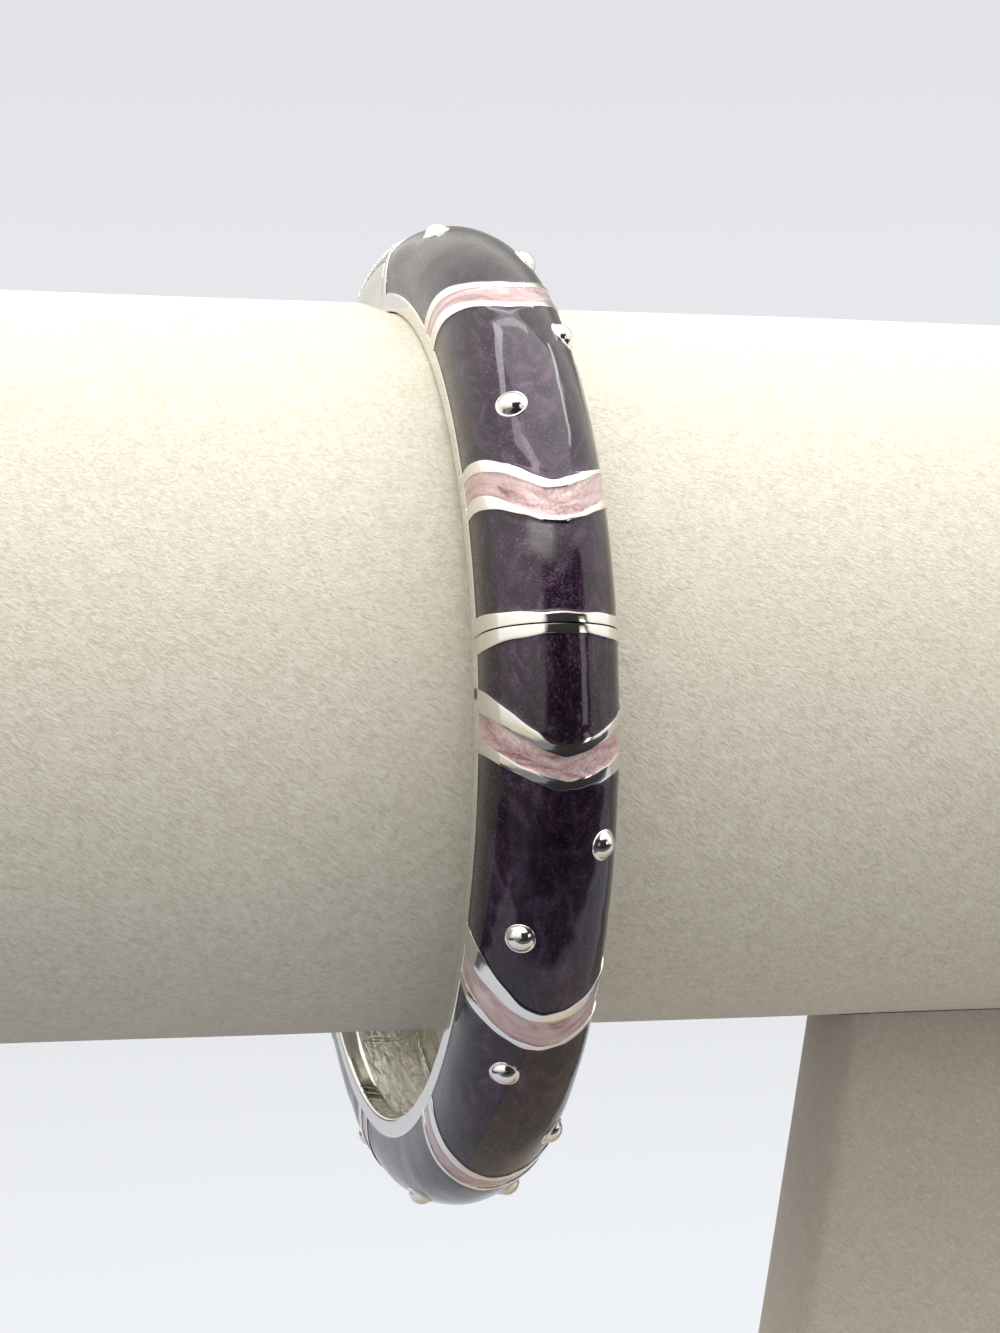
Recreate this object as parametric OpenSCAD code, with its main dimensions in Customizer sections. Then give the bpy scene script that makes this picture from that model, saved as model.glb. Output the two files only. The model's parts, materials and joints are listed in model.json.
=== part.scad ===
// Hinged enamel bangle hanging on a plain T-bar display stand.
// X runs along the bar, Z is up, and the origin is the centre of the base's underside.

/* [Bangle] */
// Inside diameter of the bangle
bore_d = 57.5; // [55:0.5:64]
// Width of the band along the arm
band_w = 8.7; // [8:0.1:10]
// Thickness of the band at its crest
band_t = 6.25; // [6:0.05:7.5]
// Height of the plain side wall, from the inside face to where the section starts to curve
wall_h = 1.05; // [0.8:0.05:1.4]
// Sharpness of the crest, where 2 is round and less is keeled
crest_power = 1.8; // [1.6:0.1:2]
// Fullness of the shoulders, where 2 is round and more is squarer
shoulder_power = 3; // [2.4:0.1:3.2]
// Angle of the parting between the halves, up from the level near side
parting_a = 10; // [0:1:15]
// Gap between the halves at the crest
parting_gap = 0.2; // [0.15:0.05:0.3]

/* [Back] */
// Width of the smooth rim on each side of the hollow back
back_rim = 1.45; // [1.2:0.05:1.8]
// Depth of the hollow back
back_depth = 2.9; // [2:0.1:3]
// Length of the solid block at each end of a half
block_l = 6.6; // [6:0.1:8]

/* [Enamel] */
// Depth of the cells that hold the enamel
cell_depth = 0.55; // [0.4:0.05:0.7]
// How far the enamel lies below the metal
enamel_drop = 0.08; // [0.04:0.02:0.16]
// Gap round each piece of enamel
enamel_gap = 0.04; // [0.02:0.01:0.08]
// Metal line between the side wall and the enamel
rim_line = 0.3; // [0.2:0.05:0.5]
// Metal left beside the parting
parting_rim = 0.65; // [0.5:0.05:1]
// Metal left beside the hinge
hinge_rim = 2.2; // [2:0.05:2.6]
// Width of a chevron's metal border at the crest
border_w = 0.55; // [0.5:0.05:0.9]
// Width of a pink chevron at the crest
pink_w = 1.8; // [1.2:0.05:2]
// Radius of the round end of the panels beside the stones
tongue_r = 4.5; // [4.4:0.05:4.8]
// Angle of that round end at the crest, from the middle of the stones
tongue_a = 9; // [8:0.5:12]

/* [Studs] */
// Diameter of a domed stud
stud_d = 1.9; // [1.6:0.1:2]
// How far a stud's centre lies under the surface
stud_sink = 0.45; // [0.3:0.05:0.5]
// How far a stud is rooted in the metal under its cell
stud_root = 0.2; // [0.1:0.05:0.3]

/* [Stones] */
// Diameter of a stone
stone_d = 1.1; // [0.8:0.05:1.15]
// Least gap between two stones
stone_gap = 0.14; // [0.12:0.02:0.3]
// Depth of the recess that the stones sit in
pave_depth = 0.6; // [0.55:0.05:1]
// Depth of a stone's widest part below the surface
stone_inset = 0.02; // [0.02:0.02:0.1]

/* [Hinge] */
// Diameter of the hinge pin
pin_d = 1; // [0.8:0.1:1.2]
// Diameter of a hinge knuckle
knuckle_d = 2.5; // [2.3:0.1:2.7]
// Length of the middle knuckle
knuckle_l = 2; // [1.6:0.1:2.2]
// Length of each outer knuckle
outer_knuckle_l = 1.9; // [1.5:0.1:2]
// Depth of the pin's axis below the crest
pin_depth = 1; // [0.8:0.1:1.2]
// Running clearance round the knuckles
knuckle_gap = 0.25; // [0.2:0.05:0.35]
// Clearance round a pin in its bore
bore_gap = 0.1; // [0.05:0.01:0.12]

/* [Clasp] */
// Length of the tongue beyond the parting
clasp_l = 4.6; // [3.5:0.1:5]
// Width of the tongue
clasp_w = 3.4; // [2.5:0.1:4]
// Thickness of the tongue
clasp_t = 1; // [0.8:0.05:1.2]
// Clearance round the tongue in its slot
clasp_gap = 0.3; // [0.25:0.05:0.4]
// Diameter of the catch pin under the tongue
catch_d = 0.8; // [0.7:0.1:1]
// Distance of the catch pin below the parting
catch_l = 3.4; // [2.5:0.1:4]
// Height of the catch pin over the inside face
catch_h = 0.65; // [0.6:0.05:0.9]

/* [Stand] */
// Diameter of the bar
bar_d = 52; // [48:0.5:54]
// Length of the bar
bar_l = 184; // [150:1:220]
// Height of the bar's axis
bar_z = 100; // [92:1:130]
// Radius of the rounding at the bar's ends
bar_round = 3; // [2:0.5:5]
// Distance of the bangle from the middle of the bar
bangle_x = 46; // [40:1:60]
// Width of the post where it meets the bar
post_d = 32.5; // [28:0.5:38]
// Thickness of the post between its flat front and its flat back
post_t = 10; // [8:0.5:16]
// Flare of the post, in degrees from upright
post_flare = 9; // [4:0.2:10]
// Extra width of the post's foot where it sweeps into the base
post_foot = 5; // [2:0.5:8]
// Diameter of the base
base_d = 124; // [110:1:150]
// Thickness of the base
base_t = 12; // [8:0.5:16]
// Gap between the pieces of the stand, and between the bar and the bangle
rest_gap = 0.1; // [0.05:0.05:0.2]
// How deep the bangle presses into the velvet at the top of the bar
velvet_give = 0.75; // [0.3:0.05:1]

/* [Hidden] */
$fn = 48;
SECTION_STEPS = 8;
ARC_STEPS = 6;
FOOT_STEPS = 8;
BROW = 0.4;             // how far a cutter stands past the face that it cuts
STONE_SIDES = 8;
STONE_ROWS = 3;         // rows of stones on each side of the crest
ROW_T = 18.6;           // section angle from one row of stones to the next
PAVE_T = 24;            // section angle of the recess's edge
UPPER_MID = parting_a + 90;
LOWER_MID = parting_a - 90;

bore_r = bore_d / 2;
crest_r = bore_r + band_t;
half_w = band_w / 2;
mean_r = bore_r + band_t / 2;
gap_a = asin(parting_gap / 2 / crest_r);
block_a = asin(block_l / mean_r);
chevron_w = pink_w + 2 * border_w;
pin_r = crest_r - pin_depth;
clasp_r = bore_r + band_t * 0.47;
bangle_z = bar_z + bar_d / 2 + rest_gap - velvet_give - bore_r;
reach = crest_r + 5;    // prisms run from the bore's middle out past the crest

// Chevrons, as [angle at the crest, rises of the edge above, rises of the edges below],
// where a pair of rises is the edge's slope on the left of the crest and on the right
UPPER_CHEVRONS = [[22.9, [0.65, 0.52], [0.58, 0.56]], [51.5, [0.58, 0.82], [0.60, 0.82]]];
LOWER_CHEVRONS = [[-4.1, [0.66, 0.49], [0.44, 0.38]], [-33.3, [0.73, 0.38], [0.45, 0.27]],
    [-62.4, [0.56, 0.40], [0.44, 0.30]]];
LEVEL = [0, 0];         // rises of a straight edge
CELL_MARGIN = 12;       // angle that a cell's skin reaches past the tips of its edges

// Studs, as [angle, place across the band as a share of its half width]
UPPER_STUDS = [[34.7, -0.42], [46.9, 0.70], [68, 0.78], [76.6, -0.44]];
LOWER_STUDS = [[-12.5, 0.64], [-22.3, -0.50], [-39.6, -0.42], [-53, 0.72]];
BOTTOM_STUDS = [[-72.5, 0.66], [-81, -0.58], [-92, 0.66]];

// The hoop is drawn in its own frame: angles run from the near side up over the top,
// z runs across the band, and this puts it on the bar.
module on_bar() {
    translate([-bangle_x, 0, bangle_z]) rotate([90, 0, -90]) children();
}

// Turns a piece half round about the line through the middle of both halves, to the far side
module far_side() {
    rotate(a = 180, v = [cos(UPPER_MID), sin(UPPER_MID), 0]) children();
}

// A point [radius, z] of the curved section: t is 0 at the wall and 90 at the crest,
// base is the height where the curve starts and inset moves it into the metal
function section_point(t, base, inset) = [
    bore_r + base + (band_t - base - inset) * pow(sin(t), 2 / shoulder_power),
    (half_w - inset) * pow(cos(t), 2 / crest_power)];

// The curve from one wall over the crest to the other
function section_curve(base, inset, t0 = 0) = concat(
    [for (i = [0:SECTION_STEPS])
        let (p = section_point(t0 + (90 - t0) * i / SECTION_STEPS, base, inset)) [p[0], -p[1]]],
    [for (i = [SECTION_STEPS - 1:-1:0]) section_point(t0 + (90 - t0) * i / SECTION_STEPS, base, inset)]);

function reversed(list) = [for (i = [len(list) - 1:-1:0]) list[i]];

// Section angle of a place across the band, and the slope of the surface there
function section_t(share) = acos(pow(abs(share), crest_power / 2));
function section_slope(t) =
    let (a = section_point(t - 0.5, wall_h, 0), b = section_point(min(t + 0.5, 90), wall_h, 0))
    t > 89 ? 0 : atan2(b[0] - a[0], a[1] - b[1]);

// Moves to a place on the surface with +z pointing out of it; share is positive towards +X
module on_surface(angle, share, inset = 0) {
    t = section_t(share);
    p = section_point(t, wall_h, 0);
    side = share > 0 ? -1 : 1;
    rotate([0, 0, angle]) translate([p[0], 0, side * p[1]])
        rotate([0, -side * section_slope(t), 0]) rotate([0, 90, 0]) translate([0, 0, -inset]) children();
}

module hoop(from_a, to_a) {
    rotate([0, 0, from_a]) rotate_extrude(angle = to_a - from_a) children();
}

// A skin of the curved section between two insets
module skin(from_a, to_a, base, outer, inner, t0 = 0) {
    hoop(from_a, to_a) polygon(concat(section_curve(base, outer, t0), reversed(section_curve(base, inner, t0))));
}

// A prism that runs out through the band at an angle, from a drawing with x across the band
// and y along the hoop
module radial_prism(angle) {
    rotate([0, 0, angle]) rotate([0, 90, 0]) linear_extrude(reach) children();
}

// All that lies beyond a V-shaped edge whose point is at s on the crest, with a rise for each side
module beyond_edge(angle, s, rises, way) {
    x = half_w * 1.5;
    radial_prism(angle)
        polygon([[-x, s + rises[0] * x], [0, s], [x, s + rises[1] * x], [x, way * reach], [-x, way * reach]]);
}

// All that lies before the round end of a panel
module before_tongue(grow) {
    radial_prism(UPPER_MID - tongue_a) {
        translate([0, -tongue_r]) circle(tongue_r + grow);
        translate([-tongue_r - grow, -reach]) square([2 * (tongue_r + grow), reach - tongue_r]);
    }
}

// The edges of a chevron, from the panel above it to the panel below it
module above_chevron(c, grow) { beyond_edge(c[0], chevron_w / 2 - grow, c[1], 1); }
module below_chevron(c, grow) { beyond_edge(c[0], -chevron_w / 2 + grow, c[2], -1); }
module in_chevron(c, grow) {
    intersection() {
        beyond_edge(c[0], -pink_w / 2 - grow, c[2], 1);
        beyond_edge(c[0], pink_w / 2 + grow, c[2], -1);
    }
}

// Skin for one piece of enamel, or for its cell when cell is true
module enamel_skin(from_a, to_a, cell) {
    if (cell) skin(from_a, to_a, wall_h + rim_line, -BROW, cell_depth);
    else skin(from_a, to_a, wall_h + rim_line + enamel_gap, enamel_drop, cell_depth - enamel_gap);
}

// Purple panels of the upper half, counted from the near end to the stones
module upper_panel(k, cell, end_rim = parting_rim) {
    grow = cell ? 0 : -enamel_gap;
    c = UPPER_CHEVRONS;
    if (k == 1) intersection() {
        enamel_skin(parting_a, c[0][0] + CELL_MARGIN, cell);
        beyond_edge(parting_a, end_rim - grow, LEVEL, 1);
        below_chevron(c[0], grow);
    }
    if (k == 2) intersection() {
        enamel_skin(c[0][0], c[1][0] + CELL_MARGIN, cell);
        above_chevron(c[0], grow);
        below_chevron(c[1], grow);
    }
    if (k == 3) intersection() {
        enamel_skin(c[1][0], UPPER_MID, cell);
        above_chevron(c[1], grow);
        before_tongue(grow);
    }
}

// Purple panels of the lower half, counted from the near end to the one at the bottom
module lower_panel(k, cell, end_rim = parting_rim) {
    grow = cell ? 0 : -enamel_gap;
    c = LOWER_CHEVRONS;
    if (k == 1) intersection() {
        enamel_skin(c[0][0], parting_a, cell);
        above_chevron(c[0], grow);
        beyond_edge(parting_a, -end_rim + grow, LEVEL, -1);
    }
    if (k == 2 || k == 3) intersection() {
        enamel_skin(c[k - 1][0], c[k - 2][0] + CELL_MARGIN, cell);
        above_chevron(c[k - 1], grow);
        below_chevron(c[k - 2], grow);
    }
    if (k == 4) intersection() {
        enamel_skin(2 * LOWER_MID - c[2][0] - CELL_MARGIN, c[2][0] + CELL_MARGIN, cell);
        below_chevron(c[2], grow);
        far_side() below_chevron(c[2], grow);
    }
}

module chevron_fill(c, cell) {
    intersection() {
        enamel_skin(c[0] - CELL_MARGIN / 3, c[0] + CELL_MARGIN, cell);
        in_chevron(c, cell ? 0 : -enamel_gap);
    }
}

module stud_hole(s) { on_surface(s[0], s[1]) cylinder(h = 4 * cell_depth, d = stud_d + 2 * enamel_gap, center = true); }
module stud(s) {
    on_surface(s[0], s[1], stud_sink) {
        sphere(d = stud_d);
        translate([0, 0, stud_sink - cell_depth - stud_root])
            cylinder(h = cell_depth + stud_root - stud_sink, d = stud_d);
    }
}

module band(from_a, to_a) {
    hoop(from_a, to_a)
        polygon(concat([[bore_r, -half_w]], section_curve(wall_h, 0), [[bore_r, half_w]]));
}

module back_channel(from_a, to_a) {
    hoop(from_a, to_a) translate([bore_r - BROW, back_rim - half_w])
        square([back_depth + BROW, band_w - 2 * back_rim]);
}

// The recess for the stones, between the round ends of the two panels beside it
module pave_recess() {
    difference() {
        skin(UPPER_MID - 20, UPPER_MID + 20, wall_h, -BROW, pave_depth, PAVE_T);
        before_tongue(border_w);
        far_side() before_tongue(border_w);
    }
}

module at_hinge() { rotate([0, 0, parting_a + 180]) translate([pin_r, 0, 0]) children(); }
module at_clasp() { rotate([0, 0, parting_a]) children(); }
knuckle_z = knuckle_l / 2 + parting_gap;

module middle_knuckle(grow) {
    at_hinge() cylinder(h = knuckle_l + 2 * (grow > 0 ? parting_gap : 0), d = knuckle_d + 2 * grow, center = true);
}
module outer_knuckles(grow) {
    at_hinge() for (side = [-1, 1])
        translate([0, 0, side * (knuckle_z + (outer_knuckle_l + 2 * grow) / 2 - grow)])
            cylinder(h = outer_knuckle_l + 2 * grow, d = knuckle_d + 2 * grow, center = true);
}
module hinge_bore() { at_hinge() cylinder(h = band_w, d = pin_d + 2 * bore_gap, center = true); }

module clasp_tongue(grow) {
    at_clasp() translate([clasp_r - clasp_t / 2 - grow, -clasp_l - grow, -clasp_w / 2 - grow])
        cube([clasp_t + 2 * grow, clasp_l + 2 * grow + 2 * clasp_t, clasp_w + 2 * grow]);
}
module catch_place(d, l) {
    at_clasp() translate([bore_r + catch_h, -catch_l, 0]) cylinder(h = l, d = d, center = true);
}

module shell_upper() {
    color("silver") on_bar() difference() {
        union() {
            difference() {
                band(parting_a + gap_a, parting_a + 180 - gap_a);
                for (k = [1:3]) upper_panel(k, true);
                for (c = UPPER_CHEVRONS) chevron_fill(c, true);
                far_side() {
                    upper_panel(1, true, hinge_rim);
                    for (k = [2:3]) upper_panel(k, true);
                    for (c = UPPER_CHEVRONS) chevron_fill(c, true);
                }
                pave_recess();
                back_channel(parting_a + block_a, parting_a + 180 - block_a);
                middle_knuckle(knuckle_gap);
            }
            for (s = UPPER_STUDS) stud(s);
            far_side() for (s = UPPER_STUDS) stud(s);
            outer_knuckles(0);
            clasp_tongue(0);
        }
        hinge_bore();
    }
}

module shell_lower() {
    color("silver") on_bar() difference() {
        union() {
            difference() {
                band(parting_a - 180 + gap_a, parting_a - gap_a);
                for (k = [1:4]) lower_panel(k, true);
                for (c = LOWER_CHEVRONS) chevron_fill(c, true);
                far_side() {
                    lower_panel(1, true, hinge_rim);
                    for (k = [2:3]) lower_panel(k, true);
                    for (c = LOWER_CHEVRONS) chevron_fill(c, true);
                }
                back_channel(parting_a - 180 + block_a, parting_a - block_a);
                outer_knuckles(knuckle_gap);
                clasp_tongue(clasp_gap);
                catch_place(catch_d + 2 * bore_gap, band_w + 2 * BROW);
            }
            for (s = concat(LOWER_STUDS, BOTTOM_STUDS)) stud(s);
            far_side() for (s = LOWER_STUDS) stud(s);
            middle_knuckle(0);
        }
        hinge_bore();
    }
}

module hinge_pin() {
    color("silver") on_bar() at_hinge()
        cylinder(h = knuckle_l + 2 * (parting_gap + outer_knuckle_l), d = pin_d, center = true);
}

module catch_pin() {
    color("dimgray") on_bar() catch_place(catch_d, band_w);
}

// One stone: a table and eight facets over the girdle, and eight facets under it
module stone() {
    r = stone_d / 2;
    rotate([0, 0, 180 / STONE_SIDES]) {
        cylinder(h = stone_d * 0.16, r1 = r, r2 = r * 0.6, $fn = STONE_SIDES);
        translate([0, 0, -stone_d * 0.4]) cylinder(h = stone_d * 0.4, r1 = r * 0.12, r2 = r, $fn = STONE_SIDES);
    }
}

// Rows of stones across the crown, each as long as the recess lets it be
module pave_stones() {
    color("white") on_bar() for (row = [-STONE_ROWS:STONE_ROWS]) {
        t = 90 - ROW_T * abs(row);
        share = sign(row) * pow(cos(t), 2 / crest_power);
        p = section_point(t, wall_h, 0);
        end_s = sqrt(pow(tongue_r + border_w, 2) - p[1] * p[1]) - tongue_r;
        start_a = UPPER_MID - tongue_a + asin(end_s / p[0]) + asin((stone_d / 2 + stone_gap) / p[0]);
        pitch_a = 2 * asin((stone_d + stone_gap) / 2 / (p[0] - stone_d * 0.5));
        spare = 2 * (UPPER_MID - start_a) / pitch_a;
        count = 2 * floor((spare - (abs(row) % 2)) / 2) + 1 + (abs(row) % 2);
        for (i = [0:count - 1])
            on_surface(UPPER_MID + (i - (count - 1) / 2) * pitch_a, share, stone_inset) stone();
    }
}

module purple_upper(k) {
    color("#3b2a3c") on_bar() difference() {
        if (k <= 3) upper_panel(k, false);
        else far_side() upper_panel(7 - k, false, k == 6 ? hinge_rim : parting_rim);
        for (s = UPPER_STUDS) stud_hole(s);
        far_side() for (s = UPPER_STUDS) stud_hole(s);
    }
}

module purple_lower(k) {
    color("#3b2a3c") on_bar() difference() {
        if (k <= 4) lower_panel(k, false);
        else far_side() lower_panel(8 - k, false, k == 7 ? hinge_rim : parting_rim);
        for (s = concat(LOWER_STUDS, BOTTOM_STUDS)) stud_hole(s);
        far_side() for (s = LOWER_STUDS) stud_hole(s);
    }
}

module pink_upper(k) {
    color("#c9a0a4") on_bar() {
        if (k <= 2) chevron_fill(UPPER_CHEVRONS[k - 1], false);
        else far_side() chevron_fill(UPPER_CHEVRONS[4 - k], false);
    }
}

module pink_lower(k) {
    color("#c9a0a4") on_bar() {
        if (k <= 3) chevron_fill(LOWER_CHEVRONS[k - 1], false);
        else far_side() chevron_fill(LOWER_CHEVRONS[6 - k], false);
    }
}

// A quarter round from its start angle, as points about a centre
function quarter(centre, r, from_a) =
    [for (i = [0:ARC_STEPS]) centre + r * [cos(from_a + 90 * i / ARC_STEPS), sin(from_a + 90 * i / ARC_STEPS)]];

module stand_base() {
    r = base_t / 3;
    color("ivory") rotate_extrude()
        polygon(concat([[0, 0], [base_d / 2, 0]], quarter([base_d / 2 - r, base_t - r], r, 0), [[0, base_t]]));
}

// The post flares at a steady angle and sweeps out a little more at its foot
module stand_post() {
    foot_z = base_t + rest_gap;
    under_z = bar_z - bar_d / 2;
    fall = under_z - foot_z;
    side = [for (i = [0:FOOT_STEPS]) let (s = i / FOOT_STEPS)
        [post_d / 2 + fall * s * tan(post_flare) + post_foot * pow(s, 5), under_z - fall * s]];
    color("ivory") difference() {
        intersection() {
            rotate_extrude() polygon(concat([[0, foot_z], [0, bar_z], [post_d / 2, bar_z]], side));
            translate([-base_d / 2, -post_t / 2, 0]) cube([base_d, post_t, bar_z + bar_d]);
        }
        translate([0, 0, bar_z]) rotate([0, 90, 0]) cylinder(h = bar_l, r = bar_d / 2 + rest_gap, center = true);
    }
}

// The bar, with the dent that the bangle's weight presses into its velvet
module stand_bar() {
    r = bar_round;
    color("ivory") difference() {
        translate([0, 0, bar_z]) rotate([0, 90, 0]) rotate_extrude()
            polygon(concat([[0, -bar_l / 2]], quarter([bar_d / 2 - r, r - bar_l / 2], r, -90),
                quarter([bar_d / 2 - r, bar_l / 2 - r], r, 0), [[0, bar_l / 2]]));
        on_bar() difference() {
            cylinder(h = band_w + 2 * rest_gap, r = crest_r, center = true);
            cylinder(h = band_w + 4 * rest_gap, r = bore_r - rest_gap, center = true);
        }
    }
}

stand_base();
stand_post();
stand_bar();
shell_upper();
shell_lower();
hinge_pin();
catch_pin();
pave_stones();
purple_upper(1);  // purple_upper_1
purple_upper(2);  // purple_upper_2
purple_upper(3);  // purple_upper_3
purple_upper(4);  // purple_upper_4
purple_upper(5);  // purple_upper_5
purple_upper(6);  // purple_upper_6
pink_upper(1);  // pink_upper_1
pink_upper(2);  // pink_upper_2
pink_upper(3);  // pink_upper_3
pink_upper(4);  // pink_upper_4
purple_lower(1);  // purple_lower_1
purple_lower(2);  // purple_lower_2
purple_lower(3);  // purple_lower_3
purple_lower(4);  // purple_lower_4
purple_lower(5);  // purple_lower_5
purple_lower(6);  // purple_lower_6
purple_lower(7);  // purple_lower_7
pink_lower(1);  // pink_lower_1
pink_lower(2);  // pink_lower_2
pink_lower(3);  // pink_lower_3
pink_lower(4);  // pink_lower_4
pink_lower(5);  // pink_lower_5
pink_lower(6);  // pink_lower_6
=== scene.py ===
# %% [markdown]
# # A hinged enamel bangle on its display stand
# The bangle is two cast halves joined by a hinge. Cells in the metal hold glossy enamel: deep purple
# panels between pink chevrons, each chevron edged in bright metal. Small domed studs stand through the
# purple, and a field of clear stones crosses the top. It hangs on a velvet-covered bar.
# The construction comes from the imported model, which fixes every size and place. This lesson makes the
# surfaces that the eye sees: each one is a formula worked out with numpy on a grid.

# %% Load the frame
import json
import math

import bpy
import numpy as np
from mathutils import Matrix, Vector


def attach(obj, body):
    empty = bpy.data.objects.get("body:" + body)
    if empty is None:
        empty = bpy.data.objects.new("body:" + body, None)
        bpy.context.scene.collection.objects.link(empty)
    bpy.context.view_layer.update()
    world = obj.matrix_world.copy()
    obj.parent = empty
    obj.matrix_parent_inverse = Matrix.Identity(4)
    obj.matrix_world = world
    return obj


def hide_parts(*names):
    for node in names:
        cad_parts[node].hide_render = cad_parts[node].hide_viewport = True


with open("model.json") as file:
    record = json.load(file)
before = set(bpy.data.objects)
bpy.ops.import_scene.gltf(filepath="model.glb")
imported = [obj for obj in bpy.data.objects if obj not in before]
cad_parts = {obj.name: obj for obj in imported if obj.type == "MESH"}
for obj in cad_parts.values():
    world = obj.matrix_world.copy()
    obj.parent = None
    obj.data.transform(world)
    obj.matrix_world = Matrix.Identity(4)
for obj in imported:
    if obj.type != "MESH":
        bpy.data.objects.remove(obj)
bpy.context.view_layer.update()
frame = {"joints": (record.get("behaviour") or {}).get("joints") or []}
MM = 0.001

# %% [markdown]
# ## The band's sizes
# The two halves meet at a clasp on the near side and at a hinge on the far side. The hinge pin is the one
# place that the model states exactly, so the middle of the hoop is worked out from it: the pin lies at the
# far parting, one millimetre below the crest. The other sizes are the castings' own, in millimetres.
# Angles run from the near side up over the top.

# %% Sizes of the band
BORE_R = 28.75
BAND_W = 8.7
BAND_T = 6.25
WALL_H = 1.05
CREST_POWER = 1.8
SHOULDER_POWER = 3.0
PARTING_A = 10.0
PARTING_GAP = 0.2
# The halves are drawn closer together than in the model, because the real parting looks that tight
SEEN_GAP = 0.1
# The hollow back: the width of its rim, its depth, and the solid length beside each parting
BACK_RIM = 1.45
BACK_DEPTH = 2.9
BLOCK_L = 6.6
PIN_DEPTH = 1.0
HALF_W = BAND_W / 2
CREST_R = BORE_R + BAND_T
PIN_R = CREST_R - PIN_DEPTH
UPPER_MID = PARTING_A + 90
LOWER_MID = PARTING_A - 90
pin = np.array(frame["joints"][0]["pos_m"]) / MM
far_parting = math.radians(PARTING_A + 180)
HOOP = pin - PIN_R * np.array([0, -math.cos(far_parting), math.sin(far_parting)])
print("middle of the hoop, mm:", HOOP.round(3))

# %% Sizes of the cells
CELL_DEPTH = 0.55
ENAMEL_DROP = 0.08
ENAMEL_T = 0.5
# Metal left beside the enamel: along the walls, at the clasp and at the hinge
RIM_LINE = 0.3
PARTING_RIM = 0.65
HINGE_RIM = 2.2
BORDER_W = 0.55
PINK_W = 1.8
CHEVRON_W = PINK_W + 2 * BORDER_W
# The round ends of the panels beside the stones: their radius, and their angle from the stones' middle
TONGUE_R = 4.5
TONGUE_A = 9.0
# The recess for the stones, and the section angle at which it ends
PAVE_DEPTH = 0.6
PAVE_T = 24.0
print("a chevron is", round(CHEVRON_W, 2), "mm wide between the purple panels")

# %% Edges of the chevrons
# A chevron is its angle and four edges, from the lower border's outer edge to the upper border's. Columns
# of an edge: how far its point is from the middle of the chevron, its slopes left and right of the crest,
# and how softly its point is rounded. The edges differ, as they do in a hand-finished casting.
UPPER_CHEVRONS = [
    (22.9, [(-1.50, 0.50, 0.56, 3.0), (-1.20, 0.66, 0.62, 3.0),
            (0.70, 0.59, 0.60, 1.4), (1.31, 0.65, 0.50, 1.15)]),
    (51.5, [(-1.39, 0.55, 0.82, 3.0), (-0.89, 0.70, 0.81, 3.0),
            (1.06, 0.52, 0.82, 3.0), (1.70, 0.61, 0.83, 3.0)])]
LOWER_CHEVRONS = [
    (-4.1, [(-1.45, 0.41, 0.30, 3.0), (-0.88, 0.44, 0.42, 3.0),
            (0.60, 0.51, 0.48, 2.3), (1.34, 0.66, 0.49, 3.0)]),
    (-33.3, [(-1.38, 0.41, 0.29, 3.0), (-1.02, 0.48, 0.26, 3.0),
             (0.87, 0.50, 0.23, 3.0), (1.48, 0.73, 0.40, 3.0)]),
    (-62.4, [(-1.40, 0.44, 0.30, 3.0), (-0.95, 0.44, 0.30, 3.0),
             (0.80, 0.44, 0.30, 3.0), (1.40, 0.55, 0.40, 3.0)])]
print("chevrons:", 2 * len(UPPER_CHEVRONS + LOWER_CHEVRONS))

# %% [markdown]
# ## The curved section
# Across the band the outside is one smooth curve from wall to wall. It could be drawn with a few Bezier
# points, but a superellipse says the same with two powers: one near two gives a soft keel at the crest,
# and one of three gives full shoulders. Everything on the outside is placed by that curve.

# %% The section as a function
SMALL_T = 0.05


def stacked(*parts):
    """Coordinates side by side: the parts stretched to one shape and stacked along a last axis."""
    return np.stack(np.broadcast_arrays(*parts), -1)


def section(t_degrees):
    """Height over the bore and place across the band: sine and cosine of t, each raised to 2 / power."""
    t = np.radians(t_degrees)
    height = WALL_H + (BAND_T - WALL_H) * np.sin(t) ** (2 / SHOULDER_POWER)
    across = HALF_W * np.maximum(np.cos(t), 0) ** (2 / CREST_POWER)
    return height, across


def section_normal(t_degrees):
    """The way out of the metal: the short step from before t to after it, turned by a right angle."""
    h0, u0 = section(np.maximum(t_degrees - SMALL_T, 0))
    h1, u1 = section(np.minimum(t_degrees + SMALL_T, 90))
    size = np.hypot(h1 - h0, u1 - u0)
    return (u0 - u1) / size, (h1 - h0) / size


def place(radius, angle_degrees, across):
    """Hoop coordinates to metres: the near side is -Y, the top is +Z and across is X."""
    a = np.radians(angle_degrees)
    return (stacked(across, -radius * np.cos(a), radius * np.sin(a)) + HOOP) * MM


print("highest point of the section, mm:", section(90)[0].round(3), "half width:", section(0)[1].round(3))

# %% The way along the section
# Even steps along the curve are read from a fine walk over it, from the wall at 0 to the crest at 90
WALK_T = np.linspace(0, 90, 4000)
WALK_H, WALK_U = section(WALK_T)
WALK_RUN = np.concatenate([[0], np.cumsum(np.hypot(np.diff(WALK_H), np.diff(WALK_U)))])
print("from wall to crest along the surface, mm:", WALK_RUN[-1].round(2))

# %% [markdown]
# ## Meshes from grids
# A tube is a loop of points carried along a path, and a sheet is a grid with a top and a bottom. Both come
# as whole arrays, and one helper puts them into Blender. It measures the signed volume first: if that
# is negative the faces point inwards, and it turns them all round.

# %% Points and faces of grids and tubes
def full_turn(sides):
    """That many even steps round a circle, in radians."""
    return np.linspace(0, 2 * math.pi, sides, endpoint=False)


def around(r, turn, z):
    """Points round an upright axis: the radius times cosine and sine of the turn, at height z."""
    return stacked(r * np.cos(turn), r * np.sin(turn), z)


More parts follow.
